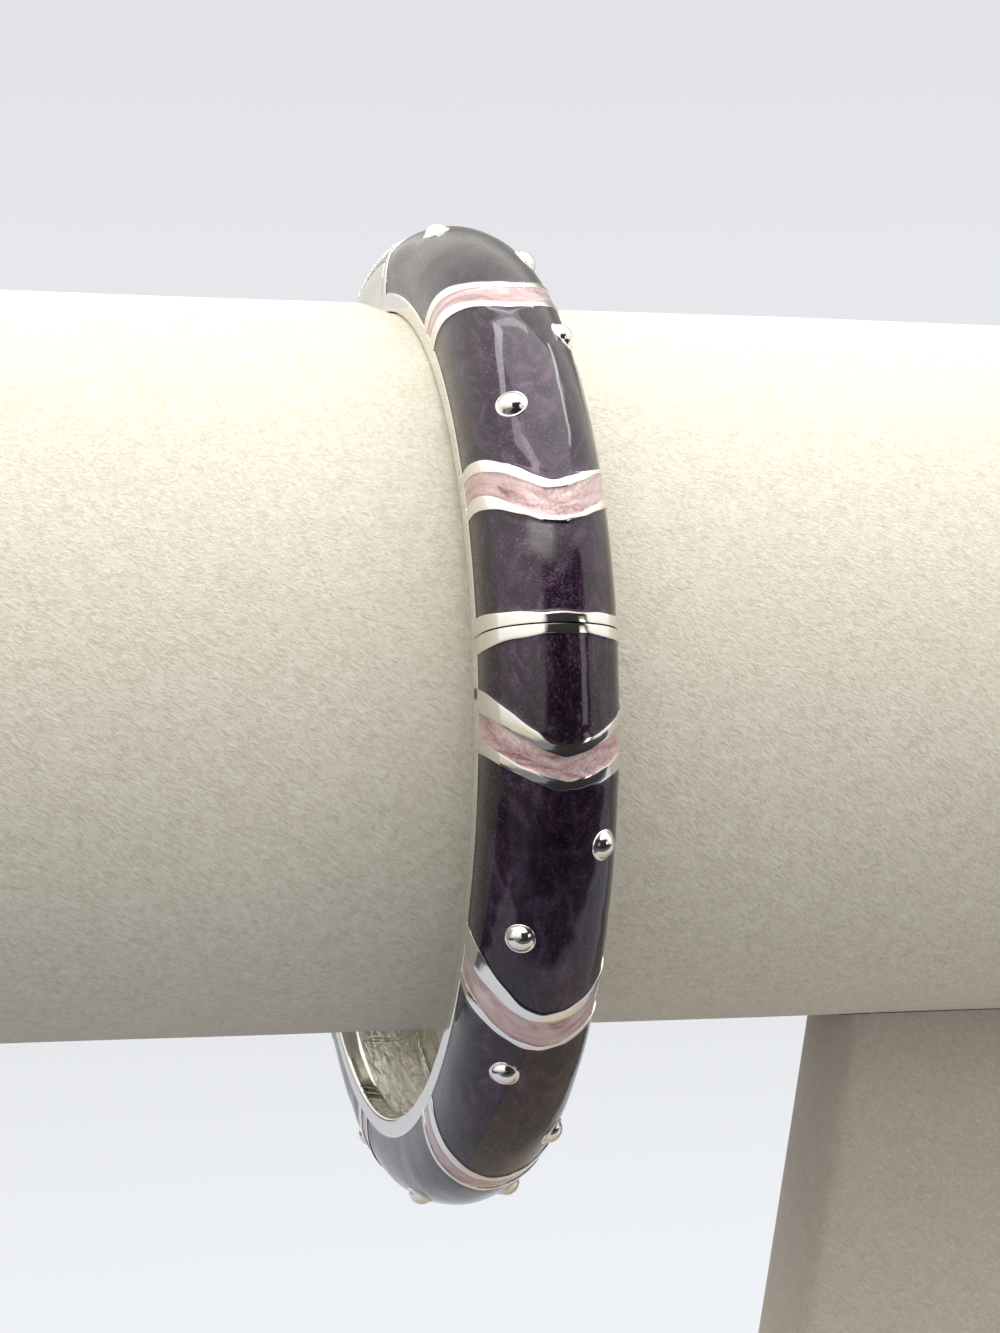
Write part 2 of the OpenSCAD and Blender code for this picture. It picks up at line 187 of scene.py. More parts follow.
def grid_faces(rows, cols, wrap=False):
    """Quads between neighbouring rows of a grid; wrap joins the last column to the first."""
    i, j = np.meshgrid(np.arange(rows - 1), np.arange(cols if wrap else cols - 1), indexing="ij")
    k = (j + 1) % cols
    return np.stack([i * cols + j, i * cols + k, (i + 1) * cols + k, (i + 1) * cols + j], -1).reshape(-1, 4)


def tube_faces(rows, cols):
    """Faces of a tube whose rows are rings of points, and the two many-sided faces that close it."""
    ring = np.arange(cols)
    return grid_faces(rows, cols, wrap=True), np.array([ring[::-1], ring + (rows - 1) * cols])


def signed_volume(points, faces):
    """Volume inside the faces: a sixth of the triple product of every triangle's corners, added up."""
    total = 0.0
    for k in range(1, faces.shape[1] - 1):
        a, b, c = points[faces[:, 0]], points[faces[:, k]], points[faces[:, k + 1]]
        total += np.einsum("ij,ij->i", a, np.cross(b, c)).sum() / 6
    return total


print("a tube of 3 rings of 8 points has", sum(len(part) for part in tube_faces(3, 8)), "faces")

# %% Make a piece
NO_ENDS = np.zeros((0, 3), int)
HARD_EDGE = 35


def make_piece(name, points, materials, body, nodes=(), faces=None, ends=NO_ENDS, second=None, uv=None,
               sharp=HARD_EDGE):
    """One closed mesh that rides on a body. With no faces given, the points are the rings of a tube. second
    marks faces that take the second material. Edges past the angle sharp stay hard; None gives facets."""
    if faces is None:
        faces, ends = tube_faces(*points.shape[:2])
    points = points.reshape(-1, 3)
    centred = points - points.mean(0)
    if signed_volume(centred, faces) + signed_volume(centred, ends) < 0:
        faces, ends = faces[:, ::-1], ends[:, ::-1]
    mesh = bpy.data.meshes.new(name)
    mesh.from_pydata(points.tolist(), [], faces.tolist() + ends.tolist())
    for material in materials:
        mesh.materials.append(material)
    if second is not None:
        mesh.polygons.foreach_set("material_index", np.append(second, np.zeros(len(ends))).astype(np.int32))
    if uv is not None:
        corners = np.zeros(len(mesh.loops), np.int32)
        mesh.loops.foreach_get("vertex_index", corners)
        mesh.uv_layers.new(name="UVMap").data.foreach_set("uv", uv[corners].astype(np.float32).ravel())
    mesh.polygons.foreach_set("use_smooth", np.full(len(mesh.polygons), sharp is not None))
    if sharp is not None:
        mesh.set_sharp_from_angle(angle=math.radians(sharp))
    mesh.validate()
    piece = bpy.data.objects.new(name, mesh)
    bpy.context.scene.collection.objects.link(piece)
    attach(piece, body)
    if nodes:
        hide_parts(*nodes)
    return piece


print("edges stay hard past", HARD_EDGE, "degrees, unless a piece says otherwise")

# %% [markdown]
# ## Materials
# Each finish is built from what the real one is. Colours are given as they look on a screen and turned
# to linear light by one function. One helper adds a node with its settings and links, so a material reads
# as a list of nodes, each with what goes into it. Pictures of real surfaces could be laid on instead, but
# a formula stays sharp close up, and its scale is a size in millimetres.

# %% Colour and node helpers
SMOOTH = {"interpolation_type": "SMOOTHSTEP"}
COLOURS = {"data_type": "RGBA"}
COLOUR_A, COLOUR_B, COLOUR_OUT = 6, 7, 2
TIMES, PLUS, MINUS = ({"operation": word} for word in ("MULTIPLY", "ADD", "SUBTRACT"))


def linear(hex_colour):
    """sRGB hex to linear light: a straight line for the darkest values, a power of 2.4 above them."""
    c = np.array([int(hex_colour[k:k + 2], 16) for k in (1, 3, 5)]) / 255
    c = np.where(c <= 0.04045, c / 12.92, ((c + 0.055) / 1.055) ** 2.4)
    return (*c.tolist(), 1.0)


def connect(tree, node, inputs):
    """Fills a node's inputs: nodes and their outputs are linked, and a hex colour becomes linear light."""
    for key, value in inputs.items():
        if isinstance(value, bpy.types.Node):
            value = value.outputs[0]
        if isinstance(value, bpy.types.NodeSocket):
            tree.links.new(value, node.inputs[key])
        else:
            node.inputs[key].default_value = linear(value) if isinstance(value, str) else value


def add(tree, kind, inputs, settings=None, stops=()):
    """A node of that kind with its inputs, its settings and, for a ramp, two or three (position, colour)."""
    node = tree.nodes.new("ShaderNode" + kind)
    for key, value in (settings or {}).items():
        setattr(node, key, value)
    connect(tree, node, inputs)
    if len(stops) == 3:
        node.color_ramp.elements.new(0.5)
    for index, (position, colour) in enumerate(stops):
        node.color_ramp.elements[index].position = position
        node.color_ramp.elements[index].color = linear(colour)
    return node


def new_material(name):
    """A material with its node tree, its shader and the coordinates that its patterns are laid on."""
    made = bpy.data.materials.new(name)
    made.use_nodes = True
    tree = made.node_tree
    shader = next(n for n in tree.nodes if n.type == "BSDF_PRINCIPLED")
    return made, tree, shader, add(tree, "TexCoord", {}).outputs


def per_mm(size):
    """Texture scale for a feature of that size in millimetres, on coordinates in metres."""
    return 1 / (size * MM)


print("mid grey in linear light:", round(linear("#808080")[0], 3))

# %% [markdown]
# ### Pearl enamel
# The enamel is a clear resin full of fine mica flakes, poured into the cells and set. The flakes lie in
# swirls, so the colour drifts between aubergine and plum, and single flakes flash. Under the clear top
# the flakes work like a rough metal, which is why the base is part metallic and the gloss is a separate
# coat. Real flakes are finer than the render can show, so they are drawn 0.1 to 0.16 mm wide.

# %% Enamel materials
COAT_WAVE, COAT_WAVE_DEPTH = 2.8, 0.035
SHINING_FROM = 0.86


def pearl_enamel(name, stops, edge, swirl, streak, flake, tilt, metallic, glint):
    """Swirls are a bent noise, stretched by streak. A flake is one Voronoi cell: its random colour
    less a half, times tilt, leans the surface's normal, and the highest values shine by glint. Sizes of
    swirls and flakes are in millimetres."""
    made, tree, shader, where = new_material(name)
    drawn = add(tree, "Mapping", {"Vector": where["UV"], "Scale": (1 / streak, 1.0, 1.0)})
    swirls = add(tree, "TexNoise", {
        "Vector": drawn, "Scale": per_mm(swirl), "Detail": 5.0, "Distortion": 2.4})
    body = add(tree, "ValToRGB", {"Fac": swirls}, stops=stops)
    flakes = add(tree, "TexVoronoi", {"Vector": where["UV"], "Scale": per_mm(flake)}).outputs["Color"]
    chance = add(tree, "SeparateColor", {0: flakes})
    shine = add(tree, "MapRange", {
        "Value": chance, "From Min": SHINING_FROM, "From Max": 1.0, "To Max": glint}, SMOOTH)
    shown = add(tree, "Mix", {"Factor": shine, COLOUR_A: body, COLOUR_B: stops[-1][1]}, COLOURS)
    lean = add(tree, "VectorMath", {0: flakes, 1: (0.5, 0.5, 0.5)}, MINUS)
    lean = add(tree, "VectorMath", {0: lean, "Scale": tilt}, {"operation": "SCALE"})
    outward = add(tree, "NewGeometry", {}).outputs["Normal"]
    lean = add(tree, "VectorMath", {0: outward, 1: lean}, PLUS)
    lean = add(tree, "VectorMath", {0: lean}, {"operation": "NORMALIZE"})
    wave = add(tree, "TexNoise", {"Vector": where["UV"], "Scale": per_mm(COAT_WAVE), "Detail": 1.0})
    coat = add(tree, "Bump", {"Strength": 1.0, "Distance": COAT_WAVE_DEPTH * MM, "Height": wave})
    connect(tree, shader, {
        "Base Color": shown.outputs[COLOUR_OUT], "Metallic": metallic, "Specular Tint": edge,
        "Roughness": 0.36, "Normal": lean,
        "Coat Weight": 1.0, "Coat Roughness": 0.045, "Coat IOR": 1.5, "Coat Normal": coat})
    return made


purple_enamel = pearl_enamel(
    "purple_pearl_enamel", [(0.28, "#1d1320"), (0.5, "#312231"), (0.76, "#59445c")], edge="#5e4b5f",
    swirl=4.0, streak=0.55, flake=0.1, tilt=0.42, metallic=0.8, glint=0.7)
pink_enamel = pearl_enamel(
    "pink_pearl_enamel", [(0.3, "#926b70"), (0.44, "#bf9e9f"), (0.7, "#dac6c5")], edge="#c8b0ac",
    swirl=1.6, streak=3.0, flake=0.16, tilt=0.3, metallic=0.25, glint=0.3)
print("enamel materials:", purple_enamel.name, pink_enamel.name)

# %% [markdown]
# ### Bright plating
# The castings are polished and plated with a thin bright layer like rhodium. It mirrors the cream bar,
# so most of its colour is borrowed. Faint polishing haze and tiny handling marks keep it from looking
# like a computer's perfect mirror. Inside the back, the casting is left as it came from the mould, with
# file marks along the hoop. The catch pin is plain dark steel.

# %% Metal materials
HAZE = 2.2


def plated_metal(name, colour, smooth, rough, mark, mark_depth, stretch=None):
    """Haze is a slow noise from smooth to rough, and marks are a fine noise used as height, both sized in
    millimetres. With stretch, both are drawn that many times longer along the hoop."""
    made, tree, shader, where = new_material(name)
    laid = where["Object"]
    if stretch:
        laid = add(tree, "Mapping", {"Vector": where["UV"], "Scale": (1 / stretch, 1.0, 1.0)})
    slow = add(tree, "TexNoise", {"Vector": laid, "Scale": per_mm(HAZE), "Detail": 3.0})
    haze = add(tree, "MapRange", {
        "Value": slow, "From Min": 0.3, "From Max": 0.7, "To Min": smooth, "To Max": rough})
    marks = add(tree, "TexNoise", {
        "Vector": laid, "Scale": per_mm(mark), "Detail": 5.0, "Distortion": 0.4})
    marked = add(tree, "Bump", {"Strength": 1.0, "Distance": mark_depth * MM, "Height": marks})
    connect(tree, shader, {"Base Color": colour, "Metallic": 1.0, "Roughness": haze, "Normal": marked})
    return made


bright_plating = plated_metal(
    "bright_rhodium_plating", "#e9e7e3", smooth=0.05, rough=0.13, mark=1.6, mark_depth=0.012)
cast_back = plated_metal(
    "as_cast_plated_back", "#c9c6bb", smooth=0.2, rough=0.34, mark=0.5, mark_depth=0.16, stretch=3.5)
dark_steel = plated_metal(
    "dark_steel_pin", "#55555a", smooth=0.25, rough=0.4, mark=0.4, mark_depth=0.01)
print("metals:", bright_plating.name, cast_back.name, dark_steel.name)

# %% [markdown]
# ### Clear stones
# The stones are cut crystal, a clear glass with a high index, with bright foil behind it. Fully clear
# glass would show only its dark seat, so a third of the light passes and the rest comes back white. Flat
# facets do the flashing.

# %% Stone material
DULL_SPOT = 0.8


def cut_crystal():
    """Clear glass over a white foil; a slow noise dulls it a little here and there."""
    made, tree, shader, where = new_material("clear_cut_crystal")
    slow = add(tree, "TexNoise", {"Vector": where["Object"], "Scale": per_mm(DULL_SPOT), "Detail": 3.0})
    dulled = add(tree, "MapRange", {"Value": slow, "To Max": 0.05})
    connect(tree, shader, {
        "Base Color": "#f7f9fc", "Transmission Weight": 0.35, "IOR": 1.9, "Roughness": dulled})
    return made


crystal = cut_crystal()
print("stone material:", crystal.name)

# %% [markdown]
# ### Velvet
# The stand is covered in short cream velvet, woven and cut. Its fibres lean one way in small tufts, which
# shows as fine slanting streaks over a soft mottling, and they catch the light at the edges as a sheen.
# Hair strands could be grown on the stand, but at this distance a bump and a sheen say the same. Real
# fibres are too fine to show, so the streaks are drawn a fifth of a millimetre wide. The post and the base
# get a darker copy of the same velvet: painted shade, for the post under the bar and for the base, which is
# shown as if out of the light, so its reflection in the band stays dark.

# %% Velvet material
FIBRE, TUFT, NAP_DEPTH = 0.2, 1.0, 0.14
FIBRE_LEAN = (0.0, 0.5, 0.3)
FIBRE_STRETCH = (2.8, 1.0, 1.0)


def velvet_cloth(name, stops):
    """The colour follows two noises: three parts of soft mottling and seven of long, leaning fibres."""
    made, tree, shader, where = new_material(name)
    leaning = add(tree, "Mapping", {
        "Vector": where["Object"], "Rotation": FIBRE_LEAN, "Scale": FIBRE_STRETCH},
        {"vector_type": "TEXTURE"})
    fibres = add(tree, "TexNoise", {
        "Vector": leaning, "Scale": per_mm(FIBRE), "Detail": 2.0, "Distortion": 1.0})
    tufts = add(tree, "TexNoise", {
        "Vector": where["Object"], "Scale": per_mm(TUFT), "Detail": 4.0, "Distortion": 0.8})
    nap = add(tree, "Mix", {"Factor": 0.7, "A": tufts, "B": fibres})
    raised = add(tree, "Bump", {"Strength": 0.5, "Distance": NAP_DEPTH * MM, "Height": fibres})
    connect(tree, shader, {
        "Base Color": add(tree, "ValToRGB", {"Fac": nap}, stops=stops), "Normal": raised,
        "Roughness": 0.95, "Specular IOR Level": 0.1, "Sheen Weight": 0.35, "Sheen Roughness": 0.45})
    return made


velvet = velvet_cloth("cream_velvet", [(0.34, "#d6cfbf"), (0.5, "#e6e0d0"), (0.66, "#f1ecdf")])
# A darker copy of the velvet for the post and the base: painted shade, not a different cloth
velvet_painted_shade = velvet_cloth("cream_velvet_painted_shade", [(0.3, "#aea69a"), (0.5, "#bab1a6"), (0.7, "#c5bdb1")])
print("velvet:", velvet.name, velvet_painted_shade.name)

# %% [markdown]
# ## Edges of the cells
# Every edge between metal and enamel is a flat cut through the band, seen from above as a V or as a
# round end. So an edge is a list of angles, one for each point across the band: a cut at distance s
# along the hoop meets the surface at the angle whose sine is s over the radius. Slow waves of a few
# hundredths of a millimetre make it look filed by hand. Boolean cuts could make the cells too, but a mesh
# whose rows follow the edges can be rounded there, so polished borders shine.

# %% Edge functions
WAVER, LONG_WAVE, SHORT_WAVE = 0.04, 0.035, 0.025


def parting_edge(s, left=0.0, right=0.0):
    """A cut at s from the parting. It bends away by left or right at the walls, as a power of the distance
    across, and wavers by a sine wave unless it is the parting itself."""
    def angles(radius, across):
        bend = np.where(across < 0, left, right) * np.abs(across / HALF_W) ** 2.5
        waver = WAVER * np.sin(2.6 * across + 3 * s) * (abs(s) > SEEN_GAP)
        return PARTING_A + np.degrees(np.arcsin((s + bend + waver) / radius))
    return angles


def v_edge(angle, point, left, right, soft):
    """A V-shaped cut: a hyperbola, round near the crest and straight towards the walls, with two waves."""
    def angles(radius, across):
        bend = (np.hypot(across, soft) - soft) * HALF_W / (np.hypot(HALF_W, soft) - soft)
        waver = LONG_WAVE * np.sin(1.9 * across + 9 * point)
        waver = waver + SHORT_WAVE * np.sin(4.3 * across + 5 * point + angle)
        s = point + np.where(across < 0, left, right) * bend + waver
        return angle + np.degrees(np.arcsin(s / radius))
    return angles


def round_edge(grow):
    """The round end of a panel, a circle seen from above, grown by so much."""
    def angles(radius, across):
        s = np.sqrt((TONGUE_R + grow) ** 2 - across ** 2) - TONGUE_R
        return UPPER_MID - TONGUE_A + np.degrees(np.arcsin(s / radius))
    return angles


def mirrored(edge, middle):
    """The same edge on the far side of the half's middle."""
    def angles(radius, across):
        return 2 * middle - edge(radius, -across)
    return angles


print("round end beside the stones, degrees:", round_edge(0)(CREST_R, np.array(0.0)).round(2))

# %% Regions of each half, from the near parting to the far one
PARTING_BENDS = np.array([0.45, 0.22])


def side_regions(chevrons, way, rim):
    """From the parting to the half's middle, as (kind, first edge, last edge); way is 1 up and -1 down."""
    after = parting_edge(way * rim, *(way * PARTING_BENDS))
    found = [("metal", parting_edge(way * SEEN_GAP / 2), after)]
    for angle, edges in chevrons:
        cuts = [v_edge(angle, *edge) for edge in edges][::way]
        found += [("purple", after, cuts[0]), ("metal", cuts[0], cuts[1])]
        found += [("pink", cuts[1], cuts[2]), ("metal", cuts[2], cuts[3])]
        after = cuts[3]
    if way > 0:
        found += [("purple", after, round_edge(0)), ("metal", round_edge(0), round_edge(BORDER_W))]
    return found


def half_regions(chevrons, way):
    """Both sides of a half, the far one mirrored, with the stones or the lowest panel between them."""
    middle = PARTING_A + way * 90
    near, far = side_regions(chevrons, way, PARTING_RIM), side_regions(chevrons, way, HINGE_RIM)
    start = near[-1][2]
    centre = [("stones" if way > 0 else "purple", start, mirrored(start, middle))]
    return near + centre + [(kind, mirrored(b, middle), mirrored(a, middle)) for kind, a, b in far[::-1]]


upper_regions = half_regions(UPPER_CHEVRONS, 1)
lower_regions = half_regions(LOWER_CHEVRONS, -1)
print("regions:", len(upper_regions), "above,", len(lower_regions), "below")

# %% [markdown]
# ## Columns across the band
# Both castings are swept grids, so they need one list of columns that goes once round the section:
# up one wall, over the crest, down the other wall, round the smooth rims and through the hollow back.
# Where the metal steps down into a cell, two columns share one place and only the second one sinks.

# %% Columns of the outside
COLUMN_STEP = 0.2
RIM_H = WALL_H + RIM_LINE
BELOW_RIM = np.array([0.2, 0.12, 0.05])


def both_sides(half, sign=1):
    """Values from the wall to the crest, and back down to the other wall; sign is that of the first side."""
    return np.concatenate([sign * half, half[-2::-1]])


def outside_columns():
    """From the left wall to the right: height h and place u, the normal nh and nu, whether a column lies
    over the cells or the stones, and how far it is from their edges."""
    t_rim = np.interp(RIM_H, WALK_H, WALK_T)
    near = np.interp(RIM_H - BELOW_RIM, WALK_H, WALK_T)
    even = np.interp(np.linspace(0, WALK_RUN[-1], int(WALK_RUN[-1] / COLUMN_STEP) + 1), WALK_RUN, WALK_T)
    # The even columns keep clear of the close ones beside the rim
    even = even[(even < t_rim * 0.3) | (even > t_rim * 1.6)]
    half = np.sort(np.concatenate([even, near, [t_rim, t_rim, PAVE_T, PAVE_T]]))
    h, u = section(half)
    nh, nu = section_normal(half)
    run = np.interp(half, WALK_T, WALK_RUN)
    columns = {"h": both_sides(h), "u": both_sides(u, -1), "nh": both_sides(nh), "nu": both_sides(nu, -1)}
    for key, edge_t in (("cell", t_rim), ("stones", PAVE_T)):
        columns[key] = both_sides(np.arange(len(half)) > np.searchsorted(half, edge_t)) > 0
        columns["to_" + key] = both_sides(np.interp(edge_t, WALK_T, WALK_RUN) - run)
    return columns


outside = outside_columns()
print("columns over the outside:", len(outside["h"]))

# %% Columns of the wall, the rim and the hollow back
# Down the wall and round the smooth rim: height over the bore, and distance in from the wall
RIM_PROFILE = [(0.75, 0), (0.35, 0), (0.14, 0.02), (0.04, 0.09), (0, 0.22), (0, 0.65), (0, 1.05), (0, 1.31)]
# Up into the hollow: depth, and distance in from the rim
HOLLOW_PROFILE = [(0.04, -0.05), (0.16, 0), (0.8, 0.03), (1.7, 0.06), (2.5, 0.12), (2.8, 0.24),
                  (BACK_DEPTH, 0.5), (BACK_DEPTH, 1.2), (BACK_DEPTH, 2.0), (BACK_DEPTH, HALF_W - BACK_RIM)]
half_back = np.array([(height, 0, HALF_W - inward) for height, inward in RIM_PROFILE]
                     + [(0, depth, HALF_W - BACK_RIM - inward) for depth, inward in HOLLOW_PROFILE])
back = np.concatenate([half_back, half_back[-2::-1] * [1, 1, -1]])
front = stacked(outside["h"], 0, outside["u"], outside["nh"], outside["nu"])
whole = np.concatenate([front, np.pad(back, [(0, 0), (0, 2)])])
COLUMN_H, COLUMN_HOLLOW, COLUMN_U, COLUMN_NH, COLUMN_NU = whole.T
print("columns round the whole section:", len(COLUMN_H))

# %% How deep each column sinks in a cell
RIM_SOFT, RIM_FALL = 0.16, 0.06
PAVE_SOFT, PAVE_FALL = 0.3, 0.1


def shoulder(distance, width, drop):
    """A soft edge: a square curve that falls by drop as the distance to the edge goes from width to 0."""
    return drop * np.clip(1 - distance / width, 0, 1) ** 2


def sinking(key, depth, width, drop):
    """Columns over the cell sink by its depth, and the metal beside it falls off softly towards it."""
    beside = shoulder(outside["to_" + key], width, drop)
    return np.pad(np.where(outside[key], depth, beside), (0, len(back)))


SINK = {"metal": np.pad(1.0 * outside["cell"], (0, len(back))),
        "stones": sinking("stones", PAVE_DEPTH, PAVE_SOFT, PAVE_FALL)}
SINK["purple"] = SINK["pink"] = sinking("cell", CELL_DEPTH, RIM_SOFT, RIM_FALL)
print("deepest column, mm:", max(SINK["purple"].max(), SINK["stones"].max()))

# %% [markdown]
# ## Rows along the band
# Rows follow the edges of the cells, and between two edges they blend from one to the other. A metal
# border's rows dip a little at both sides, so polished borders are rounded and catch thin highlights.

# %% One casting as a grid
ROW_STEP = 0.3
HOLLOW_RISE = 1.5
BORDER_SHARES = np.array([0, 0.05, 0.13, 0.26, 0.42, 0.58, 0.74, 0.87, 0.95, 1])
BORDER_DIP = shoulder(np.minimum(BORDER_SHARES, 1 - BORDER_SHARES), 0.26, 0.018)


def smooth_step(x):
    """From 0 to 1 with level ends: three times the square, less twice the cube."""
    x = np.clip(x, 0, 1)
    return x * x * (3 - 2 * x)


def casting_rows(regions):
    """Radius, angle and place across for every point, row after row from one parting to the other. Angles
    blend from a region's first edge to its last, and the surface sinks along its normal."""
    rows = []
    solid = math.degrees(math.asin(BLOCK_L / (BORE_R + BAND_T / 2)))
    for number, (kind, first, last) in enumerate(regions):
        a, b = first(BORE_R + COLUMN_H, COLUMN_U), last(BORE_R + COLUMN_H, COLUMN_U)
        length = np.abs(np.radians(b - a)).mean() * CREST_R
        share = np.linspace(0, 1, max(5, int(length / ROW_STEP)))[:, None]
        depth = SINK[kind] * np.ones_like(share)
        if kind == "metal":
            inner = np.where(BORDER_SHARES < 0.5, number > 0, number < len(regions) - 1)
            share = BORDER_SHARES[:, None]
            depth = SINK[kind] * (BORDER_DIP * np.where(inner, 1, 0.5))[:, None]
        angle = a + share * (b - a)
        from_parting = np.abs(angle - PARTING_A)
        hollow = smooth_step((np.minimum(from_parting, 180 - from_parting) - solid) / HOLLOW_RISE)
        radius = BORE_R + COLUMN_H + COLUMN_HOLLOW * hollow - depth * COLUMN_NH
        rows.append(stacked(radius, angle, COLUMN_U - depth * COLUMN_NU))
    return np.concatenate(rows)


upper_rows = casting_rows(upper_regions)
lower_rows = casting_rows(lower_regions)
print("upper grid", upper_rows.shape[:2], "lower grid", lower_rows.shape[:2])

# %% [markdown]
# ## Ends of the castings
# Each end is a flat face beside the parting. It is drawn as rings that shrink from the outline to a
# point inside it. At the hinge the rings are pushed back from a cylinder round the pin, so the other
# half's knuckles have room to turn. At the clasp the lower half's rings shrink to a slot and go down it.

# %% Sizes of the hinge and the clasp
KNUCKLE_R = 1.25
KNUCKLE_L = 2.0
OUTER_KNUCKLE_L = 1.9
KNUCKLE_GAP = 0.25
CLASP_R = BORE_R + BAND_T * 0.47
# The tongue's thickness, width and length, and the gap round it
CLASP_T, CLASP_W, CLASP_L, CLASP_GAP = 1.0, 3.4, 4.6, 0.3
# Where each half's end makes room, as distances from the middle of the band
OUTER_START = KNUCKLE_L / 2 + PARTING_GAP
OUTER_END = OUTER_START + OUTER_KNUCKLE_L
UPPER_ROOM = (0, OUTER_START)
LOWER_ROOM = (OUTER_START - KNUCKLE_GAP, OUTER_END + KNUCKLE_GAP)
print("the knuckles take", round(2 * OUTER_END, 2), "of", BAND_W, "mm")

# %% Flat ends, hinge relief and clasp slot
TINY = 1e-6
END_CENTRE_R = 31.9
END_POINT = 0.1
RING_SHARES = np.array([0.06, 0.12, 0.2, 0.3, 0.4, 0.55, 0.7, 0.85, 1])[:, None]
SLOT_DEPTHS = np.array([0.3, 1.5, 3.2, CLASP_L + CLASP_GAP])[:, None]


def to_end(points, parting_a, inward):
    """Hoop coordinates seen from a parting: height over the hoop's middle, depth behind it, and across."""
    turn = np.radians((points[..., 1] - parting_a) * inward)
    return points[..., 0] * np.cos(turn), points[..., 0] * np.sin(turn), points[..., 2]


def from_end(height, depth, across, parting_a, inward):
    """The same back again: the radius is the length of height and depth, and the angle is theirs."""
    angle = parting_a + inward * np.degrees(np.arctan2(depth, height))
    return stacked(np.hypot(height, depth), angle, across)


def relieved(height, depth, across, room):
    """Depth pushed back to a cylinder round the pin, where the place across lies in the room."""
    reach = KNUCKLE_R + KNUCKLE_GAP
    off = np.clip(np.abs(height - PIN_R) / reach, 0, 1)
    wall = reach * np.sqrt(1 - off ** 2)
    inside = (np.abs(across) > room[0] - TINY) & (np.abs(across) < room[1]) & (off < 1)
    return np.where(inside & (depth < wall) & (depth > -1), wall, depth)


def end_rings(row, parting_a, inward, room=None, slot=False):
    """Rings that close an end: the outline drawn towards a goal, a tiny circle or the slot's mouth."""
    height, depth, across = to_end(row, parting_a, inward)
    centre = CLASP_R if slot else END_CENTRE_R
    way = np.arctan2(across, height - centre)
    out = np.hypot(height - centre, across)
    goal = np.full_like(out, END_POINT)
    if slot:
        up = (CLASP_T / 2 + CLASP_GAP) / np.maximum(np.abs(np.cos(way)), TINY)
        sideways = (CLASP_W / 2 + CLASP_GAP) / np.maximum(np.abs(np.sin(way)), TINY)
        goal = np.minimum(up, sideways)
    size = out + RING_SHARES * (goal - out)
    levels = np.full_like(size, SEEN_GAP / 2)
    if slot:
        size = np.concatenate([size, goal * np.ones_like(SLOT_DEPTHS)])
        levels = np.concatenate([levels, SLOT_DEPTHS * np.ones_like(goal)])
    h, u = centre + size * np.cos(way), size * np.sin(way)
    if room:
        levels = relieved(h, levels, u, room)
    return from_end(h, levels, u, parting_a, inward)


print("room round the pin, mm:", KNUCKLE_R + KNUCKLE_GAP)

# %% Make the two castings
NEAR_HINGE = 2.5


def make_casting(name, rows, inward, room, body, node):
    """The rows with a ring-filled end at both sides, one long tube; inward is 1 for the upper half."""
    far_a = PARTING_A + 180 * inward
    height, depth, across = to_end(rows, far_a, -inward)
    pushed = from_end(height, relieved(height, depth, across, room), across, far_a, -inward)
    beside_hinge = (depth < NEAR_HINGE) & (height > 0)
    rows = np.where(beside_hinge[..., None], pushed, rows)
    near = end_rings(rows[0], PARTING_A, inward, slot=inward < 0)[::-1]
    tail = end_rings(rows[-1], far_a, -inward, room)
    grid = np.concatenate([near, rows, tail])
    radius, angle, across = np.moveaxis(grid, -1, 0)
    flat = stacked(np.radians(angle) * BORE_R, across).reshape(-1, 2) * MM
    in_back = np.tile(COLUMN_HOLLOW > 0.1, len(grid) - 1)
    return make_piece(name, place(radius, angle, across), [bright_plating, cast_back], body,
                      [node], second=in_back, uv=flat)


casting_upper = make_casting("casting_upper", upper_rows, 1, UPPER_ROOM, "root", "shell_upper")
casting_lower = make_casting("casting_lower", lower_rows, -1, LOWER_ROOM, "lower_half", "shell_lower")
print("faces:", len(casting_upper.data.polygons), len(casting_lower.data.polygons))

# %% [markdown]
# ## Knuckles, pins and the clasp's tongue
# The hinge is three short barrels on one pin, and the clasp's tongue is a flat blade that slides into the
# slot. Cylinders with a bevel modifier would do, but a profile turned round an axis gives the softly
# rounded ends at once, and the same function makes every barrel and pin.

# %% Turned parts
TURN_SIDES = 48
PIN_OVER = 0.06
HINGE_PIN_R = 0.5
# The catch pin: its radius, height over the bore, distance below the parting, and how far it stands out
CATCH_R, CATCH_H, CATCH_L, CATCH_OVER = 0.4, 0.65, 3.4, 0.02


def quarter(radius, steps=9):
    """A rounded edge, from the end face to the side: how far along, and how far in from the side."""
    arc = np.radians(np.linspace(0, 90, steps))
    return radius * (1 - np.cos(arc)), radius * (1 - np.sin(arc))


def turned_part(name, radius, angle, start, end, size, material, body, edge=0.12, nodes=()):
    """A cylinder across the band, from start to end at that place of the hoop: size is its radius, and a
    quarter circle of radius edge rounds both ends."""
    along, inward = quarter(edge, 6)
    u = np.concatenate([start + along, end - along[::-1]])[:, None]
    r = size - np.concatenate([inward, inward[::-1]])[:, None]
    local = around(r, full_turn(TURN_SIDES), u)[..., [2, 0, 1]] * [1, -1, 1] * MM
    return make_piece(name, local + place(radius, angle, 0), [material], body, nodes)


